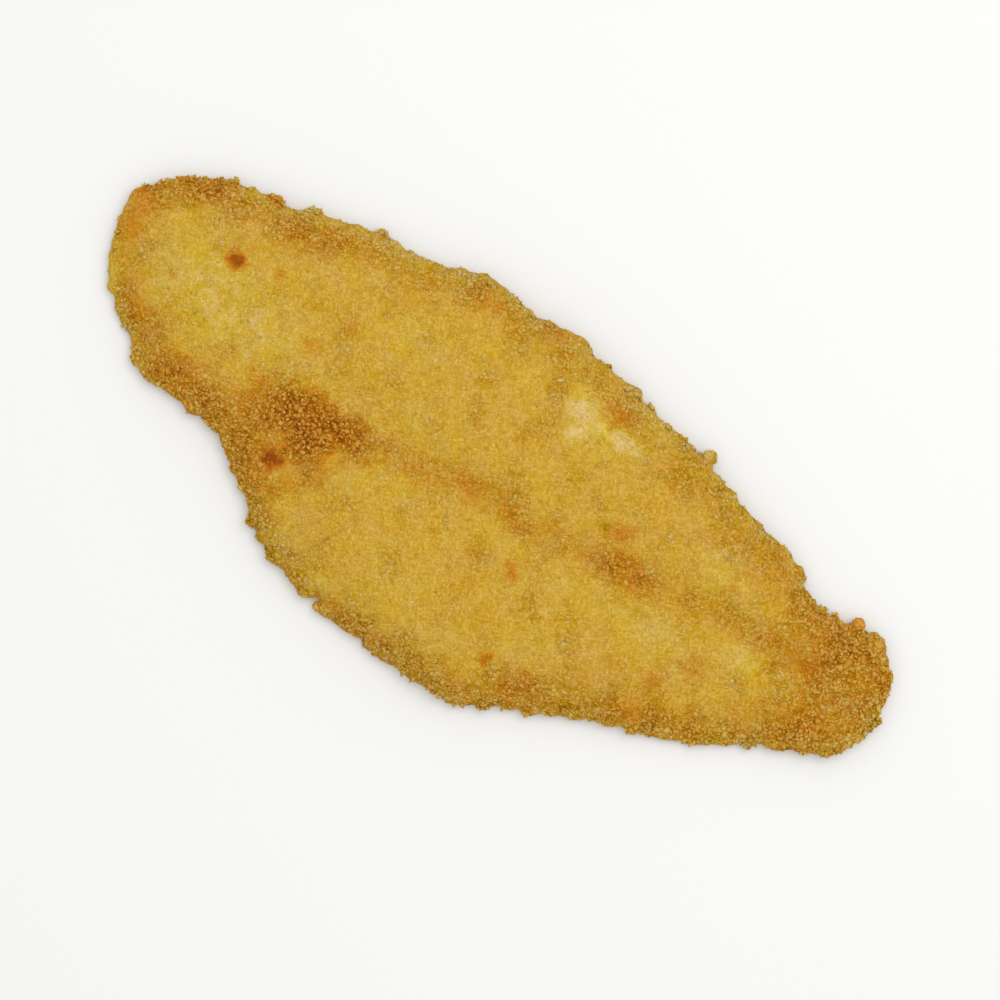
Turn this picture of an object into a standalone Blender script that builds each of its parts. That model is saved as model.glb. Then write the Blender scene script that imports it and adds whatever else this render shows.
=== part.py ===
"""Fried fish fillet: one breaded fillet in its crust, lying flat on its skinned side.

Frame: +X runs from the blunt head end to the tail, +Y to the thick dorsal edge, +Z up. The origin
lies on the resting plane, under the middle of the fillet. Forms are worked out in millimetres and
the mesh is written in metres.

The skin is one closed loft. Spokes run from the crease, the line where the two lobes of the fillet
meet, out to the rim. Those of the head end all start at the crease's head end, those of the tail
at its tail end, and between them the spokes of both sides share the crease's points in pairs. Each
ring is the outline drawn in towards the crease by the same share of every spoke, and lies at the
height of the crust there.
"""

import bpy
import numpy as np

MM = 0.001                     # metres in a millimetre

# Driving dimensions, in millimetres
LENGTH = 243.0                 # head end to tail end
WIDTH = 101.0                  # widest place, belly edge to dorsal edge
THICKNESS = 16.0               # resting plane to the top of the dorsal lobe
RIM_HEIGHT = 3.4               # height at which the rim stands out furthest
SHOULDER = 24.0                # distance in from the rim where the crust reaches its full height
SHOULDER_BEND = 2.0            # higher flattens the top
SHOULDER_RISE = 0.72           # lower makes the side steeper at the rim
FOOT_INSET = 3.4               # distance in from the rim where the underside meets the plane

HALF_LENGTH = LENGTH / 2
HALF_WIDTH = WIDTH / 2

# Outline, as shares of HALF_LENGTH and HALF_WIDTH. The belly edge runs from the tip of the head
# end to the tip of the tail, and the dorsal edge from there back to the head.
BELLY_EDGE = (
    (-1.00, 0.25), (-0.97, -0.03), (-0.92, -0.23), (-0.83, -0.36), (-0.76, -0.49),
    (-0.62, -0.50), (-0.52, -0.54), (-0.42, -0.70), (-0.32, -0.87), (-0.12, -0.975),
    (0.18, -0.985), (0.27, -0.90), (0.50, -0.62), (0.68, -0.44), (0.82, -0.23), (0.96, -0.03),
)
DORSAL_EDGE = (
    (1.00, 0.20), (0.97, 0.46), (0.90, 0.60), (0.82, 0.555), (0.73, 0.565), (0.65, 0.68),
    (0.52, 0.735), (0.34, 0.845), (0.12, 0.925), (-0.02, 0.98), (-0.12, 0.955), (-0.25, 0.97),
    (-0.38, 0.86), (-0.50, 0.83), (-0.70, 0.67), (-0.82, 0.615), (-0.94, 0.455), (-0.975, 0.35),
)

# Lumps (out > 0) and nicks (out < 0) of crust along the rim, in millimetres:
# where along X, where across Y, how far out, how wide
RIM_LUMPS = (
    (45.0, 42.0, 3.6, 1.9),
    (102.5, 29.0, 2.2, 2.0),
    (109.5, 30.5, 0.6, 2.5),
    (19.5, 46.0, 1.2, 3.0),
    (-2.0, 50.0, 0.6, 5.0),
    (-88.5, 33.6, 1.4, 2.6),
    (-84.5, 34.6, -0.8, 1.8),
    (-76.0, -25.2, 0.8, 2.0),
    (-60.0, -28.2, 0.8, 2.2),
    (-19.0, -48.6, -1.6, 1.4),
    (-15.5, -49.4, 0.9, 2.2),
    (60.5, -31.4, 0.8, 2.0),
    (69.5, -27.2, 1.0, 1.6),
)

LUMP_FADE = 8                  # higher keeps the lumps closer to the rim

# Crease between the lobes: points through it, as shares of HALF_LENGTH and HALF_WIDTH
CREASE = ((-0.74, 0.12), (-0.40, -0.14), (-0.05, 0.00), (0.20, 0.06), (0.47, 0.18), (0.78, 0.25))
CREASE_DEPTH = 1.7
CREASE_HALF_WIDTH = 6.5
CREASE_START = -0.40           # share of HALF_LENGTH where it sets in behind the head
CREASE_START_SOFT = 8.0        # distance over which it sets in

# Height of the back of the fillet from head to tail, as shares of HALF_LENGTH and THICKNESS
BACK = (
    (-1.0, 0.62), (-0.7, 0.80), (-0.3, 0.95), (0.1, 0.975), (0.5, 0.84), (0.8, 0.64), (1.0, 0.50),
)
BELLY_DROP = 2.0               # how much lower the belly lobe is than the dorsal lobe
BELLY_DROP_SOFT = 4.0          # distance from the crease over which it drops

# Sunken place behind the head, where the lobes part: X, Y, depth, radius
HOLLOW = (-48.0, -10.0, 1.3, 11.0)

# Unevenness, each as height, shortest and longest wavelength, and seed
UNEVEN_TOP = (0.35, 14.0, 46.0, 7)
UNEVEN_RIM = (0.32, 3.6, 11.5, 8)
UNEVEN_RIM_HEIGHT = (0.5, 18.0, 60.0, 9)
WAVE_COUNT = 14

# Mesh density
SPOKES = 330                   # even, so that each belly spoke has a dorsal partner
HEAD_FAN = 24                  # spokes on each side that start at the head end of the crease
TAIL_FAN = 20                  # spokes on each side that start at its tail end
TOP_RINGS = (0.22, 0.42, 0.59, 0.73, 0.84, 0.92, 0.97)   # shares of a spoke, crease to rim
UNDERCUT_INSET = 0.9           # the ring that rounds the rim off below it
UNDERCUT_SHARE = 0.33          # its height as a share of the rim's
SAMPLES_PER_SPAN = 24          # points of a smooth curve between two given points
RIM_SPLITS = 3                 # how many times finer the rim is cut to measure distances to it


def smooth_curve(points, closed=False):
    """Return fine samples of the Catmull-Rom curve through points, one sample per row."""
    given = np.asarray(points, dtype=float)
    if closed:
        given = np.vstack([given[-1], given, given[0], given[1]])
    else:
        given = np.vstack([2 * given[0] - given[1], given, 2 * given[-1] - given[-2]])
    share = np.linspace(0.0, 1.0, SAMPLES_PER_SPAN, endpoint=False)[:, None]
    spans = []
    for before, start, end, after in zip(given, given[1:], given[2:], given[3:]):
        leaving = (end - before) / 2
        arriving = (after - start) / 2
        rise = end - start
        bend = 3 * rise - 2 * leaving - arriving
        twist = leaving + arriving - 2 * rise
        spans.append(start + leaving * share + bend * share ** 2 + twist * share ** 3)
    if not closed:
        spans.append(given[-2:-1])
    return np.vstack(spans)


def evenly_spaced(curve, count):
    """Return count points at equal distances along an open curve, both ends included."""
    steps = np.linalg.norm(np.diff(curve, axis=0), axis=1)
    travelled = np.concatenate([[0.0], np.cumsum(steps)])
    stops = np.linspace(0.0, travelled[-1], count)
    return np.column_stack([np.interp(stops, travelled, curve[:, axis]) for axis in (0, 1)])


def waves(points, height, shortest, longest, seed):
    """Return a soft uneven field: a sum of plane sine waves with seeded headings and lengths."""
    rng = np.random.default_rng(seed)
    field = np.zeros(len(points))
    for _ in range(WAVE_COUNT):
        heading = rng.uniform(0.0, 2 * np.pi)
        length = rng.uniform(shortest, longest)
        start = rng.uniform(0.0, 2 * np.pi)
        along = points[:, 0] * np.cos(heading) + points[:, 1] * np.sin(heading)
        field += np.sin(2 * np.pi * along / length + start)
    return height * field / np.sqrt(WAVE_COUNT / 2)


def plain_rim():
    """Return the outline seen from above as SPOKES points, belly side first.

    The points at index i and at SPOKES - i are partners on the two sides of the crease.
    """
    scale = np.array([HALF_LENGTH, HALF_WIDTH])
    curve = smooth_curve(BELLY_EDGE + DORSAL_EDGE, closed=True) * scale
    curve = np.vstack([curve, curve[0]])
    tail_tip = SAMPLES_PER_SPAN * len(BELLY_EDGE)
    per_side = SPOKES // 2 + 1
    belly = evenly_spaced(curve[:tail_tip + 1], per_side)
    dorsal = evenly_spaced(curve[tail_tip:], per_side)
    return np.vstack([belly[:-1], dorsal[:-1]])


def crusted_rim(rim):
    """Push the rim out or in along its normal at each lump and nick, and let it wander."""
    along = np.roll(rim, -1, axis=0) - np.roll(rim, 1, axis=0)
    along /= np.linalg.norm(along, axis=1)[:, None]
    outward = np.column_stack([along[:, 1], -along[:, 0]])
    push = waves(rim, *UNEVEN_RIM)
    for lump_x, lump_y, out, width in RIM_LUMPS:
        distance = np.hypot(rim[:, 0] - lump_x, rim[:, 1] - lump_y)
        push += out * np.exp(-(distance / width) ** 2)
    return rim + outward * push[:, None]


def crease_line():
    """Return fine samples of the crease, in millimetres."""
    return smooth_curve(CREASE) * np.array([HALF_LENGTH, HALF_WIDTH])


def crease_points():
    """Return the points of the crease that the spokes start from, evenly spaced along X."""
    crease = crease_line()
    count = SPOKES // 2 + 1 - HEAD_FAN - TAIL_FAN
    along = np.linspace(crease[0, 0], crease[-1, 0], count)
    return np.column_stack([along, np.interp(along, crease[:, 0], crease[:, 1])])


def spoke_starts():
    """Return, for each spoke, which crease point it starts from. Partners share one."""
    spoke = np.arange(SPOKES)
    station = np.minimum(spoke, SPOKES - spoke)
    return np.clip(station, HEAD_FAN, SPOKES // 2 - TAIL_FAN) - HEAD_FAN


def distance_from_rim(points, rim):
    """Return how far each point lies from the nearest point of the rim."""
    following = np.roll(rim, -1, axis=0)
    shares = np.arange(RIM_SPLITS) / RIM_SPLITS
    fine = np.vstack([rim + (following - rim) * share for share in shares])
    gaps = points[:, None, :] - fine[None, :, :]
    return np.sqrt((gaps ** 2).sum(axis=2)).min(axis=1)


def crease_groove(points, from_crease):
    """Return the depth of the crease, which sets in behind the head and runs to the tail."""
    start = CREASE_START * HALF_LENGTH
    sets_in = 1 / (1 + np.exp((start - points[:, 0]) / CREASE_START_SOFT))
    return CREASE_DEPTH * sets_in * np.exp(-(from_crease / CREASE_HALF_WIDTH) ** 2)


def hollow(points):
    """Return the depth of the sunken place behind the head, a round dip."""
    hollow_x, hollow_y, depth, radius = HOLLOW
    distance = np.hypot(points[:, 0] - hollow_x, points[:, 1] - hollow_y)
    return depth * np.exp(-(distance / radius) ** 2)


def crust_height(points, rim, rim_height):
    """Return the height of the top of the crust.

    It climbs from the rim as a rounded shoulder, height over distance as a quarter of a
    superellipse, to the height of the back, less the belly lobe's drop, the crease and the hollow.
    """
    back = smooth_curve(BACK) * np.array([HALF_LENGTH, THICKNESS])
    crease = crease_line()
    from_crease = points[:, 1] - np.interp(points[:, 0], crease[:, 0], crease[:, 1])
    full = np.interp(points[:, 0], back[:, 0], back[:, 1])
    full -= BELLY_DROP / (1 + np.exp(from_crease / BELLY_DROP_SOFT))
    full -= crease_groove(points, from_crease) + hollow(points)
    full += waves(points, *UNEVEN_TOP)
    inwards = np.clip(distance_from_rim(points, rim) / SHOULDER, 0.0, 1.0)
    climb = (1 - (1 - inwards) ** SHOULDER_BEND) ** SHOULDER_RISE
    return rim_height + (full - rim_height) * climb


def point_rows(roots):
    """Return the crease's points and then the rings, from near the crease to the foot."""
    plain = plain_rim()
    rim = crusted_rim(plain)
    rim_height = RIM_HEIGHT + waves(plain, *UNEVEN_RIM_HEIGHT)
    spoke_roots = roots[spoke_starts()]
    rows = [np.column_stack([roots, crust_height(roots, plain, RIM_HEIGHT)])]
    for share in TOP_RINGS:
        flat = spoke_roots + (plain - spoke_roots) * share
        height = crust_height(flat, plain, rim_height)
        flat += (rim - plain) * share ** LUMP_FADE
        rows.append(np.column_stack([flat, height]))
    rows.append(np.column_stack([rim, rim_height]))
    inwards = spoke_roots - plain
    inwards /= np.linalg.norm(inwards, axis=1)[:, None]
    undercut = rim + inwards * UNDERCUT_INSET
    rows.append(np.column_stack([undercut, rim_height * UNDERCUT_SHARE]))
    foot = plain + inwards * FOOT_INSET
    rows.append(np.column_stack([foot, np.zeros(SPOKES)]))
    return rows


def crease_faces(first_ring):
    """Return the faces between the crease and the first ring: quads, and a fan at each end."""
    starts = spoke_starts().tolist()
    faces = []
    for spoke in range(SPOKES):
        step = (spoke + 1) % SPOKES
        face = [starts[spoke], first_ring + spoke, first_ring + step]
        if starts[step] != starts[spoke]:
            face.append(starts[step])
        faces.append(face)
    return faces


def ring_faces(first_ring, ring_count):
    """Return the quads between each two rings, and the flat face inside the last one."""
    faces = []
    for ring in range(ring_count - 1):
        inner = first_ring + ring * SPOKES
        outer = inner + SPOKES
        for spoke in range(SPOKES):
            step = (spoke + 1) % SPOKES
            faces.append([inner + spoke, outer + spoke, outer + step, inner + step])
    foot = first_ring + (ring_count - 1) * SPOKES
    faces.append([foot + spoke for spoke in reversed(range(SPOKES))])
    return faces


def fillet_mesh():
    """Build the closed skin, with the middle of its footprint at the origin."""
    roots = crease_points()
    rows = point_rows(roots)
    places = np.vstack(rows)
    middle = (places.min(axis=0) + places.max(axis=0)) / 2
    places[:, :2] -= middle[:2]
    first_ring = len(roots)
    faces = crease_faces(first_ring) + ring_faces(first_ring, len(rows) - 1)
    mesh = bpy.data.meshes.new("fillet")
    mesh.from_pydata((places * MM).tolist(), [], faces)
    return mesh


def crust_material():
    """Golden crust, slightly oily."""
    material = bpy.data.materials.new("crust")
    material.use_nodes = True
    shader = material.node_tree.nodes["Principled BSDF"]
    shader.inputs["Base Color"].default_value = (0.52, 0.29, 0.05, 1.0)
    shader.inputs["Roughness"].default_value = 0.6
    shader.inputs["Metallic"].default_value = 0.0
    return material


def make_fillet(collection):
    """Add the fillet as one object."""
    mesh = fillet_mesh()
    mesh.materials.append(crust_material())
    mesh.shade_smooth()
    mesh.set_sharp_from_angle(angle=np.radians(50))
    collection.objects.link(bpy.data.objects.new("fillet", mesh))


def main():
    """Clear the scene and build the fillet in a collection of its own."""
    for old in list(bpy.data.objects):
        bpy.data.objects.remove(old, do_unlink=True)
    parts = bpy.data.collections.new("fried_fish_fillet")
    bpy.context.scene.collection.children.link(parts)
    make_fillet(parts)


main()
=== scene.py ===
"""Fried fish fillet: its crusted skin, the crumbs on it, and a plain stage.

Frame: +X runs from the blunt head end to the tail, +Y to the thick dorsal edge, +Z up, and the
fillet rests at Z 0. Forms are worked out in millimetres and every mesh is written in metres.

The skin repeats the fillet's plain form on a finer loft and roughens it along its normals. Crumbs
of each kind are small closed lumps, set into the skin at seeded places. How browned and how coarse
the crust is at a point comes from one pair of fields, which the skin and all the crumbs share.
"""

from types import SimpleNamespace

import bpy
import numpy as np
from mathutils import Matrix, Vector


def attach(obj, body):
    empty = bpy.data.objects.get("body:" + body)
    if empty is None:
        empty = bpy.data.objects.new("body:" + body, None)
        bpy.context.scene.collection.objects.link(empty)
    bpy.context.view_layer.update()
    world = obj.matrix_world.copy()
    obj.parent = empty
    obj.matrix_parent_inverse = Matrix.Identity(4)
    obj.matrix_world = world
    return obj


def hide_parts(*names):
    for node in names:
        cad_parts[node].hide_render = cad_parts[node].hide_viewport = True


bl_info = {
    "name": "Fried fish fillet",
    "version": (1, 0, 0),
    "blender": (4, 5, 0),
    "location": "3D View > Sidebar > Fillet",
    "description": "Makes a breaded, fried fish fillet: its skin, its crumbs and a plain stage",
    "category": "Add Mesh",
}

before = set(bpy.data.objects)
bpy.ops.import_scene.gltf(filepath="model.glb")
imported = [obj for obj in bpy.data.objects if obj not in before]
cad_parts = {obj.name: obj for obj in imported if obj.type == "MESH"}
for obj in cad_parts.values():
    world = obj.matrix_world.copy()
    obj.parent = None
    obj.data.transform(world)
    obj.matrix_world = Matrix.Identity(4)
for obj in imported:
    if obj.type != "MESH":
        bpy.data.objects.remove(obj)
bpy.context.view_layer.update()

MM = 0.001                     # metres in a millimetre
BODY = "root"
NODE = "fillet"
SKIN = "crust_skin"
MAP_NAME = "OFBake"

# ---- Plain form, the same as the solid's, in millimetres or as shares of half its sides ----

BELLY_EDGE = (
    (-1.00, 0.25), (-0.97, -0.03), (-0.92, -0.23), (-0.83, -0.36), (-0.76, -0.49),
    (-0.62, -0.50), (-0.52, -0.54), (-0.42, -0.70), (-0.32, -0.87), (-0.12, -0.975),
    (0.18, -0.985), (0.27, -0.90), (0.50, -0.62), (0.68, -0.44), (0.82, -0.23), (0.96, -0.03),
)
DORSAL_EDGE = (
    (1.00, 0.20), (0.97, 0.46), (0.90, 0.60), (0.82, 0.555), (0.73, 0.565), (0.65, 0.68),
    (0.52, 0.735), (0.34, 0.845), (0.12, 0.925), (-0.02, 0.98), (-0.12, 0.955), (-0.25, 0.97),
    (-0.38, 0.86), (-0.50, 0.83), (-0.70, 0.67), (-0.82, 0.615), (-0.94, 0.455), (-0.975, 0.35),
)
# Lumps (out > 0) and nicks (out < 0) along the rim: X, Y, how far out, how wide
RIM_LUMPS = (
    (45.0, 42.0, 3.6, 1.9), (102.5, 29.0, 2.2, 2.0), (109.5, 30.5, 0.6, 2.5),
    (19.5, 46.0, 1.2, 3.0), (-2.0, 50.0, 0.6, 5.0), (-88.5, 33.6, 1.4, 2.6),
    (-84.5, 34.6, -0.8, 1.8), (-76.0, -25.2, 0.8, 2.0), (-60.0, -28.2, 0.8, 2.2),
    (-19.0, -48.6, -1.6, 1.4), (-15.5, -49.4, 0.9, 2.2), (60.5, -31.4, 0.8, 2.0),
    (69.5, -27.2, 1.0, 1.6),
)
LUMP_FADE = 8                  # higher keeps the lumps closer to the rim
CREASE = ((-0.74, 0.12), (-0.40, -0.14), (-0.05, 0.00), (0.20, 0.06), (0.47, 0.18), (0.78, 0.25))
CREASE_HALF_WIDTH = 6.5
CREASE_START = -0.40
CREASE_START_SOFT = 8.0
BACK = (
    (-1.0, 0.62), (-0.7, 0.80), (-0.3, 0.95), (0.1, 0.975), (0.5, 0.84), (0.8, 0.64), (1.0, 0.50),
)
BELLY_DROP_SOFT = 4.0
HOLLOW = (-48.0, -10.0, 1.3, 11.0)
SHOULDER_BEND = 2.0
SHOULDER_RISE = 0.72
UNEVEN_TOP = (0.35, 14.0, 46.0, 7)
UNEVEN_RIM = (0.32, 3.6, 11.5, 8)
UNEVEN_RIM_HEIGHT = (0.5, 18.0, 60.0, 9)
WAVE_COUNT = 14
SAMPLES_PER_SPAN = 24

# ---- How fine the skin's loft is ----

SPOKES = 880                   # even, so that each belly spoke has a dorsal partner
HEAD_FAN = 64                  # spokes on each side that start at the head end of the crease
TAIL_FAN = 53                  # spokes on each side that start at its tail end
TOP_ROWS = 58                  # rings from the crease to the rim
TURN_ROWS = 7                  # rings from the rim down and under to the foot
UNDER_ROWS = 12                # rings from the foot back towards the crease
ROW_CROWDING = 1.25            # higher packs the top's rings closer towards the rim
UNDER_LIFT = 0.35              # how far the skin stays off the resting plane: its crumbs touch it

# ---- Browning: 0 is pale, 0.25 golden, 0.5 toasted, 0.75 brown, 1 dark ----

BASE_TOAST = 0.295
LEAST_TOAST = 0.02
MOTTLE = ((0.010, 22.0, 60.0, 21), (0.008, 6.0, 16.0, 22), (0.013, 2.6, 6.0, 23))
MOTTLE_SHARE = (0.75, 1.5)     # how much of the mottling shows, and how much more where coarse
# The rim's band: heading from the middle in degrees, browning at the rim, how far in it reaches
RIM_BAND = (
    (0, 0.06, 8.0), (15, 0.06, 10.0), (30, 0.14, 10.0), (45, 0.07, 12.0), (75, 0.055, 11.0),
    (105, 0.05, 12.0), (135, 0.06, 10.0), (150, 0.185, 7.0), (165, 0.12, 6.0), (180, 0.05, 7.0),
    (195, 0.09, 9.0), (210, 0.16, 10.0), (225, 0.20, 11.0), (240, 0.16, 6.0), (255, 0.13, 4.0),
    (270, 0.15, 5.0), (300, 0.135, 8.5), (330, 0.15, 9.0), (345, 0.08, 9.0),
)
RIM_BAND_WANDER = (0.16, 5.0, 18.0, 24)
EDGE_PALER_AND_LIT = (-0.09, 3.6)      # less browned at the very edge, partly paler crumbs and partly painted light against the shade of the steep rim, and how far in that reaches
TAIL_START = 84.0              # where along X the tail starts to brown
TAIL_FULL = 112.0              # where it is fully browned
TAIL_TOAST = 0.065
CREASE_TOAST_AND_SHADE = 0.065
CREASE_BAND = 4.5              # half the width of the crease's browner line, partly browning and partly painted shade in the crease
CREASE_FADE_IN = 30.0          # over how much of X that line sets in
CREASE_FADE_OUT = (84.0, 100.0)         # from where to where along X it dies out
# Places where the crust is rough as well as browned:
# X, Y, half length, half width, turn in degrees, browning
ROUGH_PLACES = (
    (-48.0, -9.0, 13.0, 7.0, -8, 0.29), (-50.0, -13.0, 9.0, 6.0, 10, 0.10),
    (-36.0, -6.5, 7.0, 4.5, 5, 0.18), (-88.6, 33.5, 2.2, 1.6, 0, 0.25),
    (-103.5, 26.0, 5.0, 3.5, 30, 0.12), (-86.0, -19.0, 6.0, 4.0, -15, 0.08),
    (43.0, 5.5, 8.0, 4.2, 8, 0.13), (13.6, -0.6, 6.0, 3.0, 0, 0.07),
    (38.0, -34.7, 6.0, 3.6, 30, 0.08), (-72.0, 33.0, 14.0, 4.0, 14, 0.06),
    (-60.0, -14.0, 8.0, 6.0, 0, 0.12), (-43.0, -18.0, 9.0, 4.5, -25, 0.13),
    (98.0, 12.0, 10.0, 12.0, 0, 0.06),
)
# Stains, browned (browning > 0) or pale (browning < 0), which leave the crust as smooth as it is
STAINS = (
    (-50.0, -23.7, 3.0, 3.2, 0, 0.56), (-87.6, 13.9, 2.8, 2.7, 15, 0.62),
    (-117.0, 8.0, 4.5, 11.0, 12, 0.13), (-58.3, 7.0, 2.6, 2.2, 0, 0.11),
    (-68.0, 8.0, 2.8, 2.2, 0, 0.08), (-53.4, 16.8, 3.4, 3.0, 0, 0.08),
    (-75.8, 17.6, 1.9, 1.4, 30, 0.13), (-69.9, 28.2, 1.8, 1.4, 0, 0.10),
    (-99.5, 2.0, 1.8, 1.4, -20, 0.11), (-75.4, -5.6, 2.4, 1.7, 0, 0.08),
    (-64.7, -8.7, 3.0, 2.2, 0, 0.10), (-103.7, -10.9, 7.0, 3.0, -35, 0.10),
    (-83.8, 4.6, 3.0, 2.2, 0, 0.05),
    (-4.0, 1.0, 5.0, 3.2, 0, 0.10), (-16.0, -5.0, 3.4, 2.6, 0, 0.06),
    (19.0, -11.5, 2.6, 2.0, -50, 0.22), (26.5, -33.6, 1.0, 2.4, -10, 0.34),
    (19.0, 38.0, 4.6, 3.4, 0, 0.18), (36.4, 13.8, 4.4, 2.6, 20, 0.17),
    (98.3, 13.0, 3.0, 2.6, 0, 0.16), (105.5, 1.0, 5.0, 2.8, 0, 0.14),
    (72.9, -5.0, 3.6, 3.0, 0, 0.10), (65.3, -14.0, 3.2, 2.8, 0, 0.10),
    (66.0, -22.5, 4.6, 3.0, 20, 0.08), (-6.8, 48.0, 6.0, 2.6, 0, 0.10),
    (-26.5, 45.0, 5.0, 4.0, 0, 0.10), (10.9, 33.9, 7.4, 5.2, -55, -0.125),
    (22.5, 34.0, 6.8, 3.2, 0, -0.15), (16.1, 26.8, 1.6, 1.2, 0, 0.12),
    (14.0, 27.0, 5.0, 3.4, 0, -0.07),
    (-85.0, 4.0, 22.0, 11.0, 0, -0.073), (63.8, 21.0, 7.0, 4.5, 0, -0.05),
    (55.0, -4.0, 15.0, 4.0, 10, -0.04), (82.0, 4.5, 6.0, 3.4, 0, -0.06),
    (97.0, 5.0, 6.0, 3.2, 0, -0.05), (-22.0, -43.0, 5.0, 2.2, 0, -0.10),
    (-36.0, 24.0, 8.0, 5.0, 0, -0.03),
)
# Where pale flakes lie: the same, with the likelihood of a flake last
PALE_PLACES = ((10.9, 33.9, 5.5, 3.6, -55, 0.5), (22.5, 34.0, 6.2, 2.6, 0, 0.9))
SPOT_BEND = 0.16               # how far the edges of spots are bent, as a share of their width
SPOT_EDGE = 3.4                # higher gives the spots a sharper edge
UNDER_TOAST = 0.10             # how much browner the underside is
GRAIN_PATCHES = (0.35, 7.0, 20.0, 25)   # golden crumbs lie denser and thinner in patches
GAP_TOAST_AND_SHADE = 0.07               # how much browner the skin is between coarse crumbs, partly browning and partly painted shade
GAP_SHADE_TONE = 0.26                # and how much darker in tone there: painted shade between the crumbs
TONE_PATCHES = (0.20, 2.0, 5.0, 28)     # crumbs close together share some of their tone
TONE_LIMIT = 0.43              # no crumb is lighter than this in tone
PALE_EVEN = (0.33, 0.30)       # crust paler than this is more even in tone, down to this share
LIGHT_ON_BROWN = 0.42          # crumbs keep lighter than crust that is browner than this
PALEST_CRUMB = 0.20            # no crumb is paler than this, unless the crust below it is

# ---- Coarseness of the crust: 0 is smooth, 1 is rough ----

BASE_COARSE = 0.12
COARSE_PER_TOAST = 3.4         # coarser where the crust is browner than this:
COARSE_FROM_TOAST = 0.33
LEAST_COARSE_TOAST = -0.03     # paler crust than that is smoother, down to this difference
COARSE_TAIL = 0.24             # coarser over the tail by this much
COARSE_RIM = (0.48, 6.5)       # coarser at the rim by this much, and how far in that reaches
COARSE_WANDER = (0.12, 7.0, 22.0, 31)
SMOOTH_EDGE = (-119.0, 0.0, 8.0, 20.0, 14, 0.5)   # the head's edge, as a spot that is smoother

# ---- Relief of the skin ----

RELIEF_SINK = 0.30             # how far the skin is sunk, so that crumbs come out level
RIM_BOOST = 1.6                # how much stronger the relief is where the skin faces sideways
DOME_LEVEL = 0.62              # mean height of packed domes, which the relief is measured from
DOME_REACH = (0.62, 0.42)      # smallest reach of a dome in cells, and how much it grows by at most
DOME_HEIGHT = (0.55, 0.45)     # lowest dome, and how much higher they are at most
CLUMP_SHARE = (0.15, 0.85)     # how much of the clumps shows where smooth, and how much coarse adds
GRAIN_SHARE = (0.35, 0.65)     # the same for the grains
UNDER_SHARE = 0.5              # how much of the relief the underside has
FACES_DOWN = -0.5              # the skin counts as underside where its normal points below this
UNDER_GAP = 0.3                # lowest the relief may reach, as a share of UNDER_LIFT
CLUMP_SEED, GRAIN_SEED = 41, 42

# Nubs of crust beyond the rim: X, Y, height, width, browning
NUBS = (
    (44.4, 43.6, 3.0, 4.0, 0.26), (102.4, 29.9, 3.0, 3.9, 0.47), (-88.4, 33.6, 3.2, 2.6, 0.50),
    (-60.8, -28.4, 2.8, 2.4, 0.45), (-18.0, -48.6, 2.6, 2.8, 0.40), (69.6, -27.2, 2.6, 2.4, 0.50),
    (19.0, 46.2, 3.0, 3.0, 0.42), (109.4, 28.6, 3.0, 3.4, 0.38),
)
CLUMP_FILL = 2.2               # crumbs in a clump for each square of its width over a crumb's
CLUMP_FLATTEN = 0.3            # how much flatter a clump is than a ball

MAP_MARGIN = 1.0               # space around each part of the skin's map
MAP_DISC = 0.45                # radius of a crumb's disc in its square of the crumbs' map

# ---- Crumbs ----

# Each kind's seed, the sides and rings of its ball, how far its points move in or out, how far it
# is drawn out and flattened, how far it tilts, how high it is set as a share of half its width, and
# the most that half its height may be, in millimetres. Then the mean and spread of its browning
# against the crust's, the same for its tone, the spread of its widths, and the narrowest and widest
# as shares of the middling one.
CRUMBS = {
    "golden_crumbs": SimpleNamespace(
        seed=51, ball=(4, 2), rough=0.32, stretch=(0.7, 1.4), flatten=(0.35, 0.6), tilt=0.22,
        lift=(-0.5, -0.15), tallest=0.27, browning=(-0.01, 0.02), tones=(0.0, 0.17), widths=0.34,
        limits=(0.5, 2.2)),
    "toasted_crumbs": SimpleNamespace(
        seed=52, ball=(4, 2), rough=0.34, stretch=(0.7, 1.4), flatten=(0.5, 0.85), tilt=0.45,
        lift=(-0.6, 0.0), tallest=0.42, tones=(0.28, 0.33), widths=0.34, limits=(0.5, 2.2)),
    "pale_flakes": SimpleNamespace(
        seed=55, ball=(6, 2), rough=0.35, stretch=(0.75, 1.35), flatten=(0.3, 0.45), tilt=0.2,
        lift=(-0.35, -0.1), tallest=0.5, browning=(-0.03, 0.02), tones=(0.15, 0.15), widths=0.2),
    # Rim clumps and nubs are set lighter in tone: painted light against the shade on their sides
    # and between their crumbs.
    "rim_clumps": SimpleNamespace(
        seed=53, ball=(5, 2), rough=0.42, stretch=(0.65, 1.5), flatten=(0.55, 0.9), tilt=0.5,
        lift=(-0.2, 0.1), tallest=1.0, browning=(-0.01, 0.05), tones=(0.16, 0.2), widths=0.25),
    "rim_nubs": SimpleNamespace(
        seed=56, ball=(14, 9), rough=0.11, stretch=(0.92, 1.1), flatten=(0.95, 1.2), tilt=0.1,
        lift=(0.0, 0.0), tallest=9.0, tones=(0.32, 0.08)),
    "underside_crumbs": SimpleNamespace(
        seed=54, ball=(5, 1), rough=0.22, stretch=(0.85, 1.25), flatten=(0.5, 0.7), tilt=0.2,
        lift=(-0.4, 0.1), tallest=1.0, browning=(-0.03, 0.05), tones=(0.0, 0.3), widths=0.22),
}
DARKEST_TONE = -0.7            # no crumb is darker than this in tone
LARGE_LIGHTER = 0.1            # how much lighter a crumb of twice the middling width is
GOLDEN_COVER = (0.75, 0.25)    # likelihood of a golden crumb, and the least of it in thin patches
GOLDEN_IF_COARSE = 0.75        # how much less likely one is where the crust is coarse
TOASTED_COVER = (1.6, -0.1)    # likelihood of a coarse crumb: this by the coarseness, plus this
TOASTED_PALER = (0.05, 1.1)    # how much paler than the crust one may be, and more on brown
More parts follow.
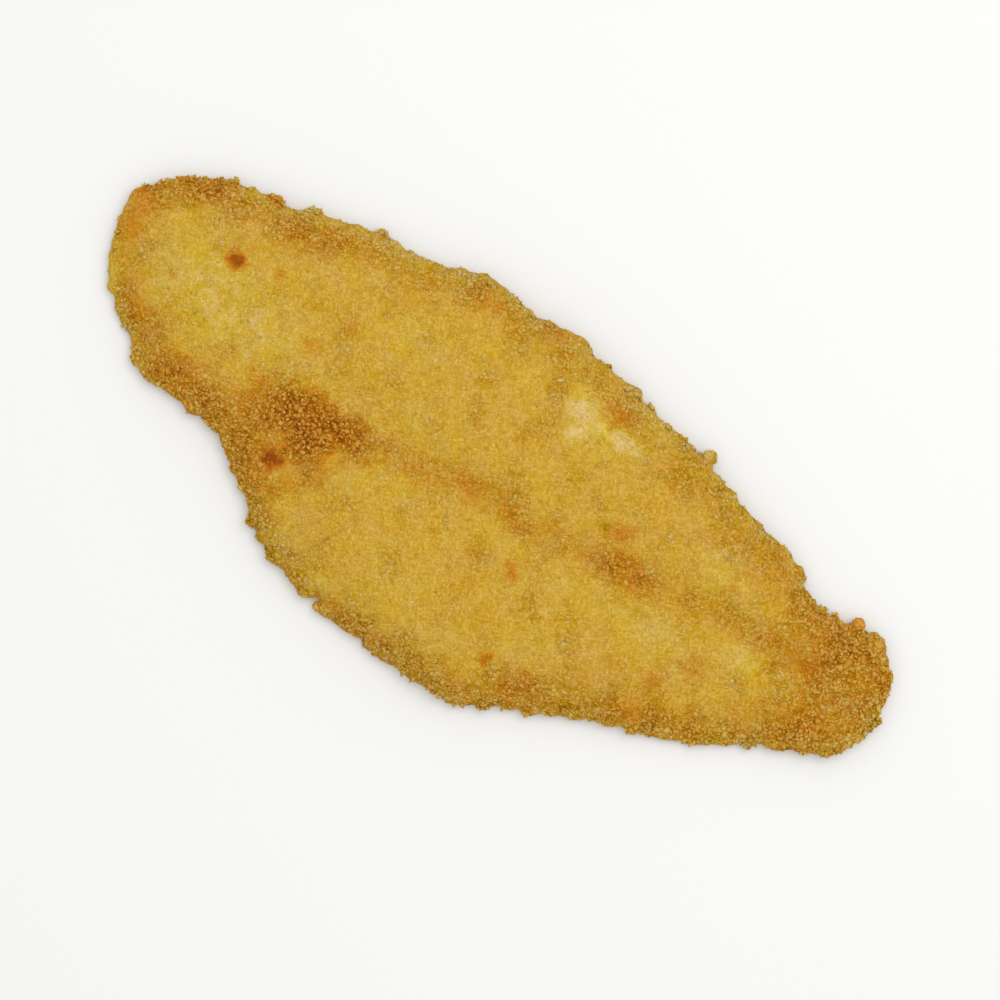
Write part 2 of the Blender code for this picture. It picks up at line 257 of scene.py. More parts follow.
TOASTED_LIGHTER = (-0.5, 1.5)  # range of how much lighter one is, for each unit of brown
CLUMP_BAND = (2.5, 0.3)        # how near the rim clumps lie, and the least nearness that has them
CLUMP_COVER = (0.2, 0.8)       # how likely a clump is where smooth, and how much coarse adds
CLUMP_CORE = 0.2               # square of the share of a clump's radius that holds no crumb
LEAST_CLUMP = 3                # fewest crumbs in a clump
NUB_HEADING = (0.2, 1.0)       # how far nubs point along X and Y, for each unit of their place
UNDERSIDE_COVER = 0.9          # likelihood of a crumb on the underside
CELL_TRIES = 3                 # places tried for each crumb kept
ROW_STRIDE = 100003            # more than there are squares across the unrolled skin
# Large odd factors and shifts that mix a cell's numbers into seeded values, 32 bits wide
HASH_STEPS = ((0x9E3779B1, 15), (0x85EBCA77, 13), (0xC2B2AE3D, 16))
HASH_START, HASH_ADD, HASH_MASK = 2654435761, 0x68BC21EB, 0xFFFFFFFF

# ---- Materials ----

# Each piece's material: its name, the size of its grains in metres, the share of their tone, how
# high their relief is in metres, and the least and most roughness of its surface
MATERIALS = {
    SKIN: ("crust_batter", 0.0008, 0.74, 0.00036, (0.52, 0.68)),
    "golden_crumbs": ("crumb_golden", 0.0005, 0.45, 0.00016, (0.48, 0.64)),
    "toasted_crumbs": ("crumb_toasted", 0.0005, 0.55, 0.00018, (0.45, 0.62)),
    "pale_flakes": ("crumb_pale", 0.0006, 0.4, 0.00016, (0.5, 0.65)),
    "rim_clumps": ("crumb_clump", 0.0005, 0.5, 0.00016, (0.45, 0.62)),
    "rim_nubs": ("crumb_nub", 0.0009, 0.9, 0.0003, (0.5, 0.65)),
    "underside_crumbs": ("crumb_underside", 0.0004, 0.35, 0.00003, (0.4, 0.58)),
}
GRAINS_SHOWN = (0.7, 0.8)      # how much of its grains the skin shows, and how much coarse adds
LIGHTEST_TONE = 0.5            # no spot of the crust is lighter than this in tone
# The tone holds each crumb's own tone and the painted shade of gaps. It turns into colour here, so
# painted shade is browner as well as darker.
TONE_TO_TOAST = 0.13           # a tone of 1 is this much less browned,
TONE_TO_LIGHT = 0.33           # this share lighter
TONE_TO_MILK_AND_SHEEN = 1.7             # and this share richer in blue, which makes it whiter: partly whiter crumbs, partly painted sheen on light crumbs and painted, deeper shade in dark gaps
WHITEST = 0.42                 # most blue there may be, as a share of the green
NOISE_SPAN = (0.3, 0.7)        # range of a noise's values that is put to use
MILKY = (0.007, 0.34)          # size of the milky and clear areas, and their share of blue
SOFT_MOTTLE = (0.004, 0.03)    # size of the softest mottling, and how much it changes the tone
SOFT_DETAIL = 3.0              # how much detail those two have
OILY = (0.006, (0.35, 0.65))   # size of the oily and dry areas, and the range of noise they take
OILY_DETAIL = 2.0              # how much detail they have
WARP_SIZE = 1.3                # size of the warp of the flakes' lattices, in flakes
WARP_DETAIL = 1.0              # and how much detail it has
WARP_SHIFT = 1.2               # how far it shifts them, in flakes
FLAKE_TURNS = (25.0, -62.0)    # headings of the two lattices, in degrees
FLAKE_STRETCH = (1.7, 0.85, 1.0)        # how far flakes are drawn out along, across and upwards
FLAKE_EDGE = (0.3, 0.65)       # where the painted shade in the gap beside a flake starts and where it is deepest
FLAKE_GAP_SHADE = 0.4                 # painted shade: how much darker the gaps between flakes are
FLAKE_HEIGHT = 0.5             # how much higher than another a flake may be, in flakes' domes
FLAKE_FALL = 2.0               # how far a dome falls off, by the square of the distance
FINE_SIZE = 0.4                # size of the finest roughness, in flakes
FINE_DETAIL = (2.0, 0.6)       # how much detail it has, and how rough that is
FINE_TONE = 0.18               # how much it changes the tone
FINE_HEIGHT = 0.18             # and the height, in flakes' domes
SOFT = 0.20                    # share of light that passes into the skin and out again
SOFT_DEPTH = 0.0006            # and how deep it goes, in metres
SOFT_BY_COLOUR = (1.0, 0.5, 0.2)        # depth for red, green and blue, as shares of that
GLOSS = 0.08                   # specular level of the crust, slightly oily

# ---- Stage, in metres ----

FLOOR_REACH = 3.0
FLOOR_ROUGHNESS = 0.6
KEY_PLACE = (0.10, 0.32, 1.0)
KEY_SIDE = 0.8
CAMERA_OVER = (0.0054, 0.0024)          # the point of the floor that the camera looks down on
CAMERA_TURN = 35.1             # degrees anticlockwise from above
SENSOR = 36.0                  # width of the camera's sensor, in millimetres


# ------------------------------------------------------------------ sizes a user may change

class FilletForm(bpy.types.PropertyGroup):
    """Sizes of the plain form."""

    length: bpy.props.FloatProperty(
        name="Length", description="Head end to tail end", default=0.243, unit="LENGTH")
    width: bpy.props.FloatProperty(
        name="Width", description="Belly edge to dorsal edge, at the widest place",
        default=0.101, unit="LENGTH")
    thickness: bpy.props.FloatProperty(
        name="Thickness", description="Resting plane to the top of the dorsal lobe",
        default=0.016, unit="LENGTH")
    rim_height: bpy.props.FloatProperty(
        name="Rim height", description="Height at which the rim stands out furthest",
        default=0.0034, unit="LENGTH")
    shoulder: bpy.props.FloatProperty(
        name="Shoulder", description="Distance in from the rim to the crust's full height",
        default=0.024, unit="LENGTH")
    foot_inset: bpy.props.FloatProperty(
        name="Foot inset", description="Distance in from the rim where the underside starts",
        default=0.0034, unit="LENGTH")
    crease_depth: bpy.props.FloatProperty(
        name="Crease depth", description="Depth of the crease between the two lobes",
        default=0.0017, unit="LENGTH")
    belly_drop: bpy.props.FloatProperty(
        name="Belly drop", description="How much lower the belly lobe is than the dorsal lobe",
        default=0.002, unit="LENGTH")


class FilletCrust(bpy.types.PropertyGroup):
    """Sizes of the crust's relief and crumbs."""

    clump_size: bpy.props.FloatProperty(
        name="Clump size", description="Distance between clumps of crust",
        default=0.0032, unit="LENGTH")
    clump_height: bpy.props.FloatProperty(
        name="Clump height", description="Height of a clump where the crust is coarse",
        default=0.0006, unit="LENGTH")
    grain_size: bpy.props.FloatProperty(
        name="Grain size", description="Distance between grains in the skin",
        default=0.0014, unit="LENGTH")
    grain_height: bpy.props.FloatProperty(
        name="Grain height", description="Height of a grain where the crust is coarse",
        default=0.00032, unit="LENGTH")
    golden_crumb: bpy.props.FloatProperty(
        name="Golden crumb", description="Width of a middling golden crumb",
        default=0.0009, unit="LENGTH")
    golden_spacing: bpy.props.FloatProperty(
        name="Golden spacing", description="Distance between golden crumbs",
        default=0.00112, unit="LENGTH")
    toasted_crumb: bpy.props.FloatProperty(
        name="Toasted crumb", description="Width of a middling coarse crumb",
        default=0.00116, unit="LENGTH")
    toasted_spacing: bpy.props.FloatProperty(
        name="Toasted spacing", description="Distance between coarse crumbs",
        default=0.00084, unit="LENGTH")
    pale_flake: bpy.props.FloatProperty(
        name="Pale flake", description="Width of a middling flake of the pale patch",
        default=0.0013, unit="LENGTH")
    pale_spacing: bpy.props.FloatProperty(
        name="Pale spacing", description="Distance between pale flakes",
        default=0.0014, unit="LENGTH")
    rim_clump: bpy.props.FloatProperty(
        name="Rim clump", description="Width of a middling clump on the rim",
        default=0.0026, unit="LENGTH")
    rim_clump_crumb: bpy.props.FloatProperty(
        name="Rim clump crumb", description="Width of a middling crumb on a clump",
        default=0.001, unit="LENGTH")
    rim_clump_spacing: bpy.props.FloatProperty(
        name="Rim clump spacing", description="Distance between clumps on the rim",
        default=0.0046, unit="LENGTH")
    underside_crumb: bpy.props.FloatProperty(
        name="Underside crumb", description="Width of a middling crumb on the underside",
        default=0.001, unit="LENGTH")
    underside_spacing: bpy.props.FloatProperty(
        name="Underside spacing", description="Distance between crumbs on the underside",
        default=0.0015, unit="LENGTH")


class FilletColours(bpy.types.PropertyGroup):
    """Colours of the crust, from pale to dark."""

    pale: bpy.props.FloatVectorProperty(
        name="Pale", description="Batter that has hardly browned",
        default=(0.72, 0.555, 0.335), subtype="COLOR")
    golden: bpy.props.FloatVectorProperty(
        name="Golden", description="Evenly fried crust",
        default=(0.578, 0.379, 0.0510), subtype="COLOR")
    toasted: bpy.props.FloatVectorProperty(
        name="Toasted", description="Crust at the rim and the tail",
        default=(0.565, 0.227, 0.0155), subtype="COLOR")
    brown: bpy.props.FloatVectorProperty(
        name="Brown", description="Well browned crumbs",
        default=(0.405, 0.126, 0.0020), subtype="COLOR")
    dark: bpy.props.FloatVectorProperty(
        name="Dark", description="The darkest gaps and spots",
        default=(0.27, 0.052, 0.001), subtype="COLOR")


class FilletStage(bpy.types.PropertyGroup):
    """The floor, the light and the camera."""

    floor: bpy.props.FloatVectorProperty(
        name="Floor", description="Colour of the floor",
        default=(0.75, 0.75, 0.74), subtype="COLOR")
    sky: bpy.props.FloatProperty(
        name="Sky", description="Brightness of the light from all round", default=0.94, min=0.0)
    key: bpy.props.FloatProperty(
        name="Key", description="Power of the large soft lamp, in watts", default=4.4, min=0.0)
    camera_height: bpy.props.FloatProperty(
        name="Camera height", description="Height of the camera above the floor",
        default=0.9, unit="LENGTH")
    field: bpy.props.FloatProperty(
        name="Field", description="Width of the camera's view at the rim's height",
        default=0.2656, unit="LENGTH")


GROUPS = {
    "fillet_form": FilletForm,
    "fillet_crust": FilletCrust,
    "fillet_colours": FilletColours,
    "fillet_stage": FilletStage,
}


# ------------------------------------------------------------------ plain form

def smooth_curve(points, closed=False):
    """Fine samples of the Catmull-Rom curve through points: a cubic between each two of them whose
    slope at a point is half the way from the point before it to the point after it."""
    given = np.asarray(points, dtype=float)
    if closed:
        given = np.vstack([given[-1], given, given[0], given[1]])
    else:
        given = np.vstack([2 * given[0] - given[1], given, 2 * given[-1] - given[-2]])
    share = np.linspace(0.0, 1.0, SAMPLES_PER_SPAN, endpoint=False)[None, :, None]
    start = given[1:-2, None, :]
    leaving = (given[2:-1] - given[:-3])[:, None, :] / 2
    arriving = (given[3:] - given[1:-2])[:, None, :] / 2
    rise = (given[2:-1] - given[1:-2])[:, None, :]
    bend = 3 * rise - 2 * leaving - arriving
    twist = leaving + arriving - 2 * rise
    curve = start + leaving * share + bend * share ** 2 + twist * share ** 3
    curve = curve.reshape(-1, given.shape[1])
    if closed:
        return curve
    return np.vstack([curve, given[-2]])


def evenly_spaced(curve, count):
    """Points at equal distances along an open curve, both ends included."""
    steps = np.linalg.norm(np.diff(curve, axis=0), axis=1)
    travelled = np.concatenate([[0.0], np.cumsum(steps)])
    stops = np.linspace(0.0, travelled[-1], count)
    return np.column_stack([np.interp(stops, travelled, curve[:, axis]) for axis in (0, 1)])


def waves(points, height, shortest, longest, seed):
    """A soft uneven field: the sum of plane sine waves with seeded headings, lengths and starts."""
    rng = np.random.default_rng(seed)
    field = np.zeros(points.shape[:-1])
    for _ in range(WAVE_COUNT):
        heading = rng.uniform(0.0, 2 * np.pi)
        length = rng.uniform(shortest, longest)
        start = rng.uniform(0.0, 2 * np.pi)
        along = points[..., 0] * np.cos(heading) + points[..., 1] * np.sin(heading)
        field += np.sin(2 * np.pi * along / length + start)
    return height * field / np.sqrt(WAVE_COUNT / 2)


def half_sides(form):
    """Half the length and half the width, in millimetres."""
    return np.array([form.length, form.width]) / (2 * MM)


def unit(vectors):
    """Vectors brought to length 1."""
    lengths = np.linalg.norm(vectors, axis=-1, keepdims=True)
    return vectors / np.maximum(lengths, 1e-9)


def plain_rim(form):
    """The outline from above: SPOKES points at equal distances along each of its two sides."""
    curve = smooth_curve(BELLY_EDGE + DORSAL_EDGE, closed=True) * half_sides(form)
    curve = np.vstack([curve, curve[0]])
    tail_tip = SAMPLES_PER_SPAN * len(BELLY_EDGE)
    per_side = SPOKES // 2 + 1
    belly = evenly_spaced(curve[:tail_tip + 1], per_side)
    dorsal = evenly_spaced(curve[tail_tip:], per_side)
    return np.vstack([belly[:-1], dorsal[:-1]])


def crusted_rim(rim):
    """The outline pushed along its normal by soft waves and by a bell at each lump and nick."""
    along = unit(np.roll(rim, -1, axis=0) - np.roll(rim, 1, axis=0))
    outward = np.column_stack([along[:, 1], -along[:, 0]])
    push = waves(rim, *UNEVEN_RIM)
    for lump_x, lump_y, out, width in RIM_LUMPS:
        distance = np.hypot(rim[:, 0] - lump_x, rim[:, 1] - lump_y)
        push += out * np.exp(-(distance / width) ** 2)
    return rim + outward * push[:, None]


def crease_points(form):
    """The points of the crease that spokes start from, evenly spaced along X."""
    crease = smooth_curve(CREASE) * half_sides(form)
    count = SPOKES // 2 + 1 - HEAD_FAN - TAIL_FAN
    along = np.linspace(crease[0, 0], crease[-1, 0], count)
    return np.column_stack([along, np.interp(along, crease[:, 0], crease[:, 1])])


def spoke_starts():
    """Which crease point each spoke starts from. The two sides share them in pairs."""
    spoke = np.arange(SPOKES)
    station = np.minimum(spoke, SPOKES - spoke)
    return np.clip(station, HEAD_FAN, SPOKES // 2 - TAIL_FAN) - HEAD_FAN


def distance_from_rim(rows, rim):
    """How far each point of each row lies from the nearest point of the rim."""
    found = [np.sqrt(((row[:, None] - rim[None]) ** 2).sum(axis=2).min(axis=1)) for row in rows]
    return np.array(found)


def from_crease(points, form):
    """How far each point lies from the crease along Y, dorsal side positive."""
    crease = smooth_curve(CREASE) * half_sides(form)
    return points[..., 1] - np.interp(points[..., 0], crease[:, 0], crease[:, 1])


def crust_height(points, inwards, rim_height, form):
    """Height of the plain top: from the rim it climbs as a quarter of a superellipse to the height
    of the back, less the belly lobe's drop, the crease and the hollow, plus soft waves."""
    back = smooth_curve(BACK) * np.array([half_sides(form)[0], form.thickness / MM])
    off_crease = from_crease(points, form)
    full = np.interp(points[..., 0], back[:, 0], back[:, 1])
    full -= form.belly_drop / MM / (1 + np.exp(off_crease / BELLY_DROP_SOFT))
    start = CREASE_START * half_sides(form)[0]
    sets_in = 1 / (1 + np.exp((start - points[..., 0]) / CREASE_START_SOFT))
    full -= form.crease_depth / MM * sets_in * np.exp(-(off_crease / CREASE_HALF_WIDTH) ** 2)
    hollow_x, hollow_y, depth, radius = HOLLOW
    apart = np.hypot(points[..., 0] - hollow_x, points[..., 1] - hollow_y)
    full -= depth * np.exp(-(apart / radius) ** 2)
    full += waves(points, *UNEVEN_TOP)
    share = np.clip(inwards * MM / form.shoulder, 0.0, 1.0)
    climb = (1 - (1 - share) ** SHOULDER_BEND) ** SHOULDER_RISE
    return rim_height + (full - rim_height) * climb


# ------------------------------------------------------------------ browning and coarseness

def spot(points, place_x, place_y, half_length, half_width, turn):
    """A soft-edged oval: 1 at its middle, falling with a power of the distance over its radius."""
    angle = np.radians(turn)
    away_x = points[..., 0] - place_x
    away_y = points[..., 1] - place_y
    along = (away_x * np.cos(angle) + away_y * np.sin(angle)) / half_length
    across = (away_y * np.cos(angle) - away_x * np.sin(angle)) / half_width
    return np.exp(-np.hypot(along, across) ** SPOT_EDGE)


def smooth_step(values, start, end):
    """0 before start and 1 after end, with an even S between them."""
    share = np.clip((values - start) / (end - start), 0.0, 1.0)
    return share * share * (3 - 2 * share)


def spots_sum(points, spots):
    """The sum of soft ovals, each times its own strength, with their edges bent by small waves in
    proportion to their size."""
    bends = np.stack([waves(points, SPOT_BEND, 3.0, 9.0, seed) for seed in (26, 27)], axis=-1)
    summed = np.zeros(points.shape[:-1])
    for *place, strength in spots:
        summed += strength * spot(points + bends * min(place[2:4]), *place)
    return summed


def browning_and_coarseness(points, inwards, form):
    """How browned and how coarse the crust is. Browned: its base, the rim's band as a bell over the
    distance from the rim, the tail, the crease's line, rough places, stains and a soft mottling
    that is stronger where the crust is coarse. The crease's line is partly painted shade in the
    crease, and the very edge is paler, partly as painted light. Coarse: more where the crust is
    brown, apart from stains, more at the rim and the tail, less at the head's edge."""
    half_length, half_width = half_sides(form)
    heading = np.degrees(np.arctan2(points[..., 1] / half_width, points[..., 0] / half_length))
    headings, strengths, reaches = np.array(RIM_BAND).T
    strength = np.interp(heading, headings, strengths, period=360)
    reach = np.interp(heading, headings, reaches, period=360)
    wander = 1 + waves(points, *RIM_BAND_WANDER)
    toast = BASE_TOAST + strength * np.exp(-(inwards / (reach * wander)) ** 2)
    # Painted light in part: the very edge is less browned, against the shade on the rim's steep
    # sides.
    edge_light, edge_reach = EDGE_PALER_AND_LIT
    toast += edge_light * np.exp(-(inwards / edge_reach) ** 2)
    toast += TAIL_TOAST * smooth_step(points[..., 0], TAIL_START, TAIL_FULL)
    start = CREASE_START * half_length
    sets_in = smooth_step(points[..., 0], start, start + CREASE_FADE_IN)
    sets_in *= 1 - smooth_step(points[..., 0], *CREASE_FADE_OUT)
    line = np.exp(-(from_crease(points, form) / CREASE_BAND) ** 2)
    # The crease's browner line is partly painted shade in the crease.
    toast += CREASE_TOAST_AND_SHADE * sets_in * line + spots_sum(points, ROUGH_PLACES)
    rim_coarse, rim_reach = COARSE_RIM
    coarse = BASE_COARSE + COARSE_PER_TOAST * (toast - COARSE_FROM_TOAST).clip(LEAST_COARSE_TOAST)
    coarse += rim_coarse * np.exp(-(inwards / rim_reach) ** 2) + waves(points, *COARSE_WANDER)
    coarse += COARSE_TAIL * smooth_step(points[..., 0], TAIL_START, TAIL_FULL)
    *smooth_place, smoother = SMOOTH_EDGE
    coarse -= smoother * spot(points, *smooth_place)
    toast += spots_sum(points, STAINS)
    shown, more_shown = MOTTLE_SHARE
    for layer in MOTTLE:
        toast += waves(points, *layer) * (shown + more_shown * coarse)
    return np.clip(toast, LEAST_TOAST, 1.0), np.clip(coarse, 0.0, 1.0)


def unevenness(toast):
    """How strongly tones differ from crumb to crumb: less where the crust is pale."""
    full, least = PALE_EVEN
    return np.clip(toast / full, least, 1.0)


# ------------------------------------------------------------------ relief

def cell_values(cells, seed):
    """Four seeded values from 0 to 1 for each whole-numbered cell, by multiplying and shifting."""
    mask = np.uint64(HASH_MASK)
    state = np.full(cells.shape[:-1], seed * HASH_START % 2 ** 32, dtype=np.uint64)
    for axis in range(3):
        state = state ^ (cells[..., axis].astype(np.int64) & HASH_MASK).astype(np.uint64)
        for factor, shift in HASH_STEPS:
            state = (state * np.uint64(factor)) & mask
            state ^= state >> np.uint64(shift)
    values = []
    for factor, shift in HASH_STEPS + HASH_STEPS[:1]:
        state = (state * np.uint64(factor) + np.uint64(HASH_ADD)) & mask
        state ^= state >> np.uint64(shift)
        values.append(state / 2.0 ** 32)
    return np.stack(values, axis=-1)


def domes(points, size, seed):
    """Height from 0 to 1 of packed domes: every cell of a cubic lattice holds one dome at a seeded
    place with a seeded height, half an ellipse in section, and a point takes the highest one."""
    scaled = points / size
    home = np.floor(scaled)
    height = np.zeros(len(points))
    for step in np.ndindex(3, 3, 3):
        cell = home + np.array(step) - 1
        drawn = cell_values(cell, seed)
        apart = np.linalg.norm(scaled - cell - drawn[:, :3], axis=1)
        reach = DOME_REACH[0] + DOME_REACH[1] * drawn[:, 3]
        section = np.sqrt(np.clip(1 - (apart / reach) ** 2, 0.0, None))
        height = np.maximum(height, section * (DOME_HEIGHT[0] + DOME_HEIGHT[1] * drawn[:, 3]))
    return height


def corner_normals(places, faces):
    """The normal at each point: the sum of its faces' normals, weighted by their areas."""
    corners = places[faces]
    across = np.cross(corners[:, 1] - corners[:, 0], corners[:, 2] - corners[:, 0])
    summed = np.zeros_like(places)
    for corner in range(3):
        for axis in range(3):
            summed[:, axis] += np.bincount(
                faces[:, corner], weights=across[:, axis], minlength=len(places))
    return unit(summed)


# ------------------------------------------------------------------ the skin

def top_rows(plain, rim, roots, rim_height, form):
    """Rings of the top: the outline drawn in along every spoke by the same share, set at the
    crust's height, with the lumps of the rim added by a high power of the share."""
    share = 1 - (1 - np.arange(1, TOP_ROWS + 1) / TOP_ROWS) ** ROW_CROWDING
    share = share[:, None, None]
    flat = roots + (plain - roots) * share
    inwards = distance_from_rim(flat, plain)
    height = crust_height(flat, inwards, rim_height, form)
    flat = flat + (rim - plain) * share ** LUMP_FADE
    return np.dstack([flat, height[..., None]]), inwards


def turn_rows(plain, rim, inward, rim_height, form):
    """Rings below the rim: a quarter of an ellipse from the rim, straight down at first, to the
    foot, while the lumps of the rim die out."""
    angle = (np.arange(1, TURN_ROWS + 1) / TURN_ROWS * np.pi / 2)[:, None]
    inset = form.foot_inset / MM * (1 - np.cos(angle))
    fade = (np.sin(angle) ** 2)[..., None]
    flat = rim + (plain - rim) * fade + inward * inset[..., None]
    height = UNDER_LIFT + (rim_height - UNDER_LIFT) * (1 - np.sin(angle))
    return np.dstack([flat, height[..., None]])


def under_rows(foot, roots):
    """Rings of the underside: the foot drawn in along every spoke, all at the same height."""
    share = (1 - np.arange(1, UNDER_ROWS) / UNDER_ROWS)[:, None, None]
    flat = roots + (foot - roots) * share
    height = np.full(flat.shape[:2] + (1,), UNDER_LIFT)
    return np.dstack([flat, height])


def unrolled_rows(rows, roots, outward):
    """Where each point of the top and the turned rim lies when its spoke is laid out straight: the
    spoke's start plus its heading times the distance travelled along it."""
    first = np.column_stack([roots, rows[0, :, 2]])[None]
    steps = np.linalg.norm(np.diff(np.vstack([first, rows]), axis=0), axis=2)
    return roots + outward * np.cumsum(steps, axis=0)[..., None]


def fan_faces(first_point, first_ring, starts):
    """Triangles between the crease's points and the ring next to it, seen from the ring's side."""
    spoke = np.arange(SPOKES)
    step = (spoke + 1) % SPOKES
    near = np.column_stack([first_point + starts, first_ring + spoke, first_ring + step])
    far = np.column_stack([first_point + starts, first_ring + step, first_point + starts[step]])
    return np.vstack([near, far[starts != starts[step]]])


def band_faces(first_ring, ring_count):
    """Two triangles for each square between each ring and the next one."""
    ring, spoke = np.meshgrid(np.arange(ring_count - 1), np.arange(SPOKES), indexing="ij")
    inner = (first_ring + ring * SPOKES + spoke).ravel()
    inner_step = (first_ring + ring * SPOKES + (spoke + 1) % SPOKES).ravel()
    outer, outer_step = inner + SPOKES, inner_step + SPOKES
    first = np.column_stack([inner, outer, outer_step])
    second = np.column_stack([inner, outer_step, inner_step])
    return np.vstack([first, second])


def plain_skin(form):
    """The whole skin before its relief: crease, rings round to the underside, crease below."""
    plain = plain_rim(form)
    rim = crusted_rim(plain)
    crease = crease_points(form)
    starts = spoke_starts()
    roots = crease[starts]
    inward = unit(roots - plain)
    rim_height = form.rim_height / MM + waves(plain, *UNEVEN_RIM_HEIGHT)
    top, inwards = top_rows(plain, rim, roots, rim_height, form)
    turn = turn_rows(plain, rim, inward, rim_height, form)
    under = under_rows(turn[-1, :, :2], roots)
    crease_in = distance_from_rim(crease[None], plain)[0]
    crease_top = crust_height(crease, crease_in, form.rim_height / MM, form)
    under_in = distance_from_rim(under[..., :2], plain)
    rows = np.vstack([top, turn, under])
    places = np.vstack([
        np.column_stack([crease, crease_top]),
        rows.reshape(-1, 3),
        np.column_stack([crease, np.full(len(crease), UNDER_LIFT)]),
    ])
    inwards = np.concatenate([
        crease_in, inwards.ravel(), np.zeros(turn.shape[0] * SPOKES), under_in.ravel(), crease_in])
    upper = TOP_ROWS + TURN_ROWS
    unrolled = unrolled_rows(rows[:upper], roots, -inward)
    unrolled = np.vstack([crease, unrolled.reshape(-1, 2)])
    first_ring = len(crease)
    foot_ring = first_ring + (upper - 1) * SPOKES
    last_ring = foot_ring + (UNDER_ROWS - 1) * SPOKES
    under_crease = last_ring + SPOKES
    above = np.vstack([fan_faces(0, first_ring, starts), band_faces(first_ring, upper)])
    below = np.vstack([
        band_faces(foot_ring, UNDER_ROWS), fan_faces(under_crease, last_ring, starts)[:, ::-1]])
    middle = (places[:, :2].min(axis=0) + places[:, :2].max(axis=0)) / 2
    places[:, :2] -= middle
    unrolled -= middle
    return SimpleNamespace(
        places=places, inwards=inwards, unrolled=unrolled, above=above, below=below)


def roughened(skin, coarse, crust):
    """The skin moved along its normals by clumps and grains, stronger where the crust is coarse and
    where it faces sideways, and sunk so that crumbs come out level with the plain form."""
    faces = np.vstack([skin.above, skin.below])
    normals = corner_normals(skin.places, faces)
    sideways = 1 - np.abs(normals[:, 2])
    boost = 1 + RIM_BOOST * sideways
    clumps = domes(skin.places, crust.clump_size / MM, CLUMP_SEED) - DOME_LEVEL
    grains = domes(skin.places, crust.grain_size / MM, GRAIN_SEED) - DOME_LEVEL
    relief = clumps * crust.clump_height / MM * (CLUMP_SHARE[0] + CLUMP_SHARE[1] * coarse) * boost
    relief += grains * crust.grain_height / MM * (GRAIN_SHARE[0] + GRAIN_SHARE[1] * coarse)
    relief -= RELIEF_SINK * (1 - sideways)
    below = np.clip(relief, -UNDER_LIFT, 0.0) * UNDER_SHARE
    relief = np.where(normals[:, 2] < FACES_DOWN, below, relief)
    places = skin.places + normals * relief[:, None]
    places[:, 2] = np.maximum(places[:, 2], UNDER_LIFT * UNDER_GAP)
    return places


def skin_map(skin):
    """The skin's own map, one place for each face corner: the unrolled top in one strip and the
    underside from below in another, both at the same scale."""
    below = skin.places[:, :2] * np.array([1.0, -1.0])
    above_low, above_high = skin.unrolled.min(axis=0), skin.unrolled.max(axis=0)
    seen = below[skin.below.ravel()]
    below_low, below_high = seen.min(axis=0), seen.max(axis=0)
    tall = (above_high[1] - above_low[1]) + (below_high[1] - below_low[1])
    side = max(above_high[0] - above_low[0], tall) + 4 * MAP_MARGIN
    above = skin.unrolled[skin.above.ravel()] - above_low + MAP_MARGIN
    under = seen - below_low + MAP_MARGIN
    under[:, 1] += above_high[1] - above_low[1] + MAP_MARGIN
    return np.vstack([above, under]) / side


# ------------------------------------------------------------------ meshes

def write_mesh(name, places, faces, corner_map, values):
    """A mesh from places in millimetres, triangles, one map place for each face corner, and named
    values, one for each point."""
    mesh = bpy.data.meshes.new(name)
    mesh.vertices.add(len(places))
    mesh.vertices.foreach_set("co", (places * MM).astype(np.float32).ravel())
    mesh.loops.add(faces.size)
    mesh.loops.foreach_set("vertex_index", faces.astype(np.int32).ravel())
    mesh.polygons.add(len(faces))
    mesh.polygons.foreach_set("loop_start", np.arange(0, faces.size, 3, dtype=np.int32))
    layer = mesh.uv_layers.new(name=MAP_NAME)
    layer.data.foreach_set("uv", corner_map.astype(np.float32).ravel())
    for label, numbers in values.items():
        stored = mesh.attributes.new(label, "FLOAT", "POINT")
        stored.data.foreach_set("value", numbers.astype(np.float32).ravel())
    mesh.update(calc_edges=True)
    mesh.shade_smooth()
    return mesh


def add_piece(name, mesh, material):
    """Put a finished mesh in the scene as a piece that stands for the fillet's solid."""
    mesh.materials.append(material)
    piece = bpy.data.objects.new(name, mesh)
    bpy.context.scene.collection.objects.link(piece)
    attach(piece, BODY)
    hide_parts(NODE)
    return piece


def numbers_from(items, name, kind, width=1):
    """Read one property of every item as an array."""
    found = np.empty(len(items) * width, dtype=kind)
    items.foreach_get(name, found)
    return found.reshape(-1, width) if width > 1 else found


def skin_surface():
    """What crumbs need of the skin: its triangles, places, normals and fields, which points are on
    its top, and its map at full size, as the skin lies when unrolled."""
    if SKIN not in bpy.data.objects:
        raise RuntimeError("Make the skin first: crumbs sit on it")
    mesh = bpy.data.objects[SKIN].data
    places = numbers_from(mesh.vertices, "co", np.float32, 3).astype(float) / MM
    faces = numbers_from(mesh.loops, "vertex_index", np.int32).reshape(-1, 3)
    corner_map = numbers_from(mesh.uv_layers[MAP_NAME].data, "uv", np.float32, 2)
    edge = np.linalg.norm(places[faces[:, 1]] - places[faces[:, 0]], axis=1).sum()
    corner_map = corner_map.astype(float).reshape(-1, 3, 2)
    drawn = np.linalg.norm(corner_map[:, 1] - corner_map[:, 0], axis=1).sum()
    fields = {
        label: numbers_from(mesh.attributes[label].data, "value", np.float32).astype(float)
        for label in ("toast", "tone", "coarse", "inwards", "under")
    }
    fields["top"] = fields.pop("under") < 0.5
    return SimpleNamespace(
        places=places, faces=faces, normals=corner_normals(places, faces),
        unrolled=corner_map * edge / drawn, **fields)


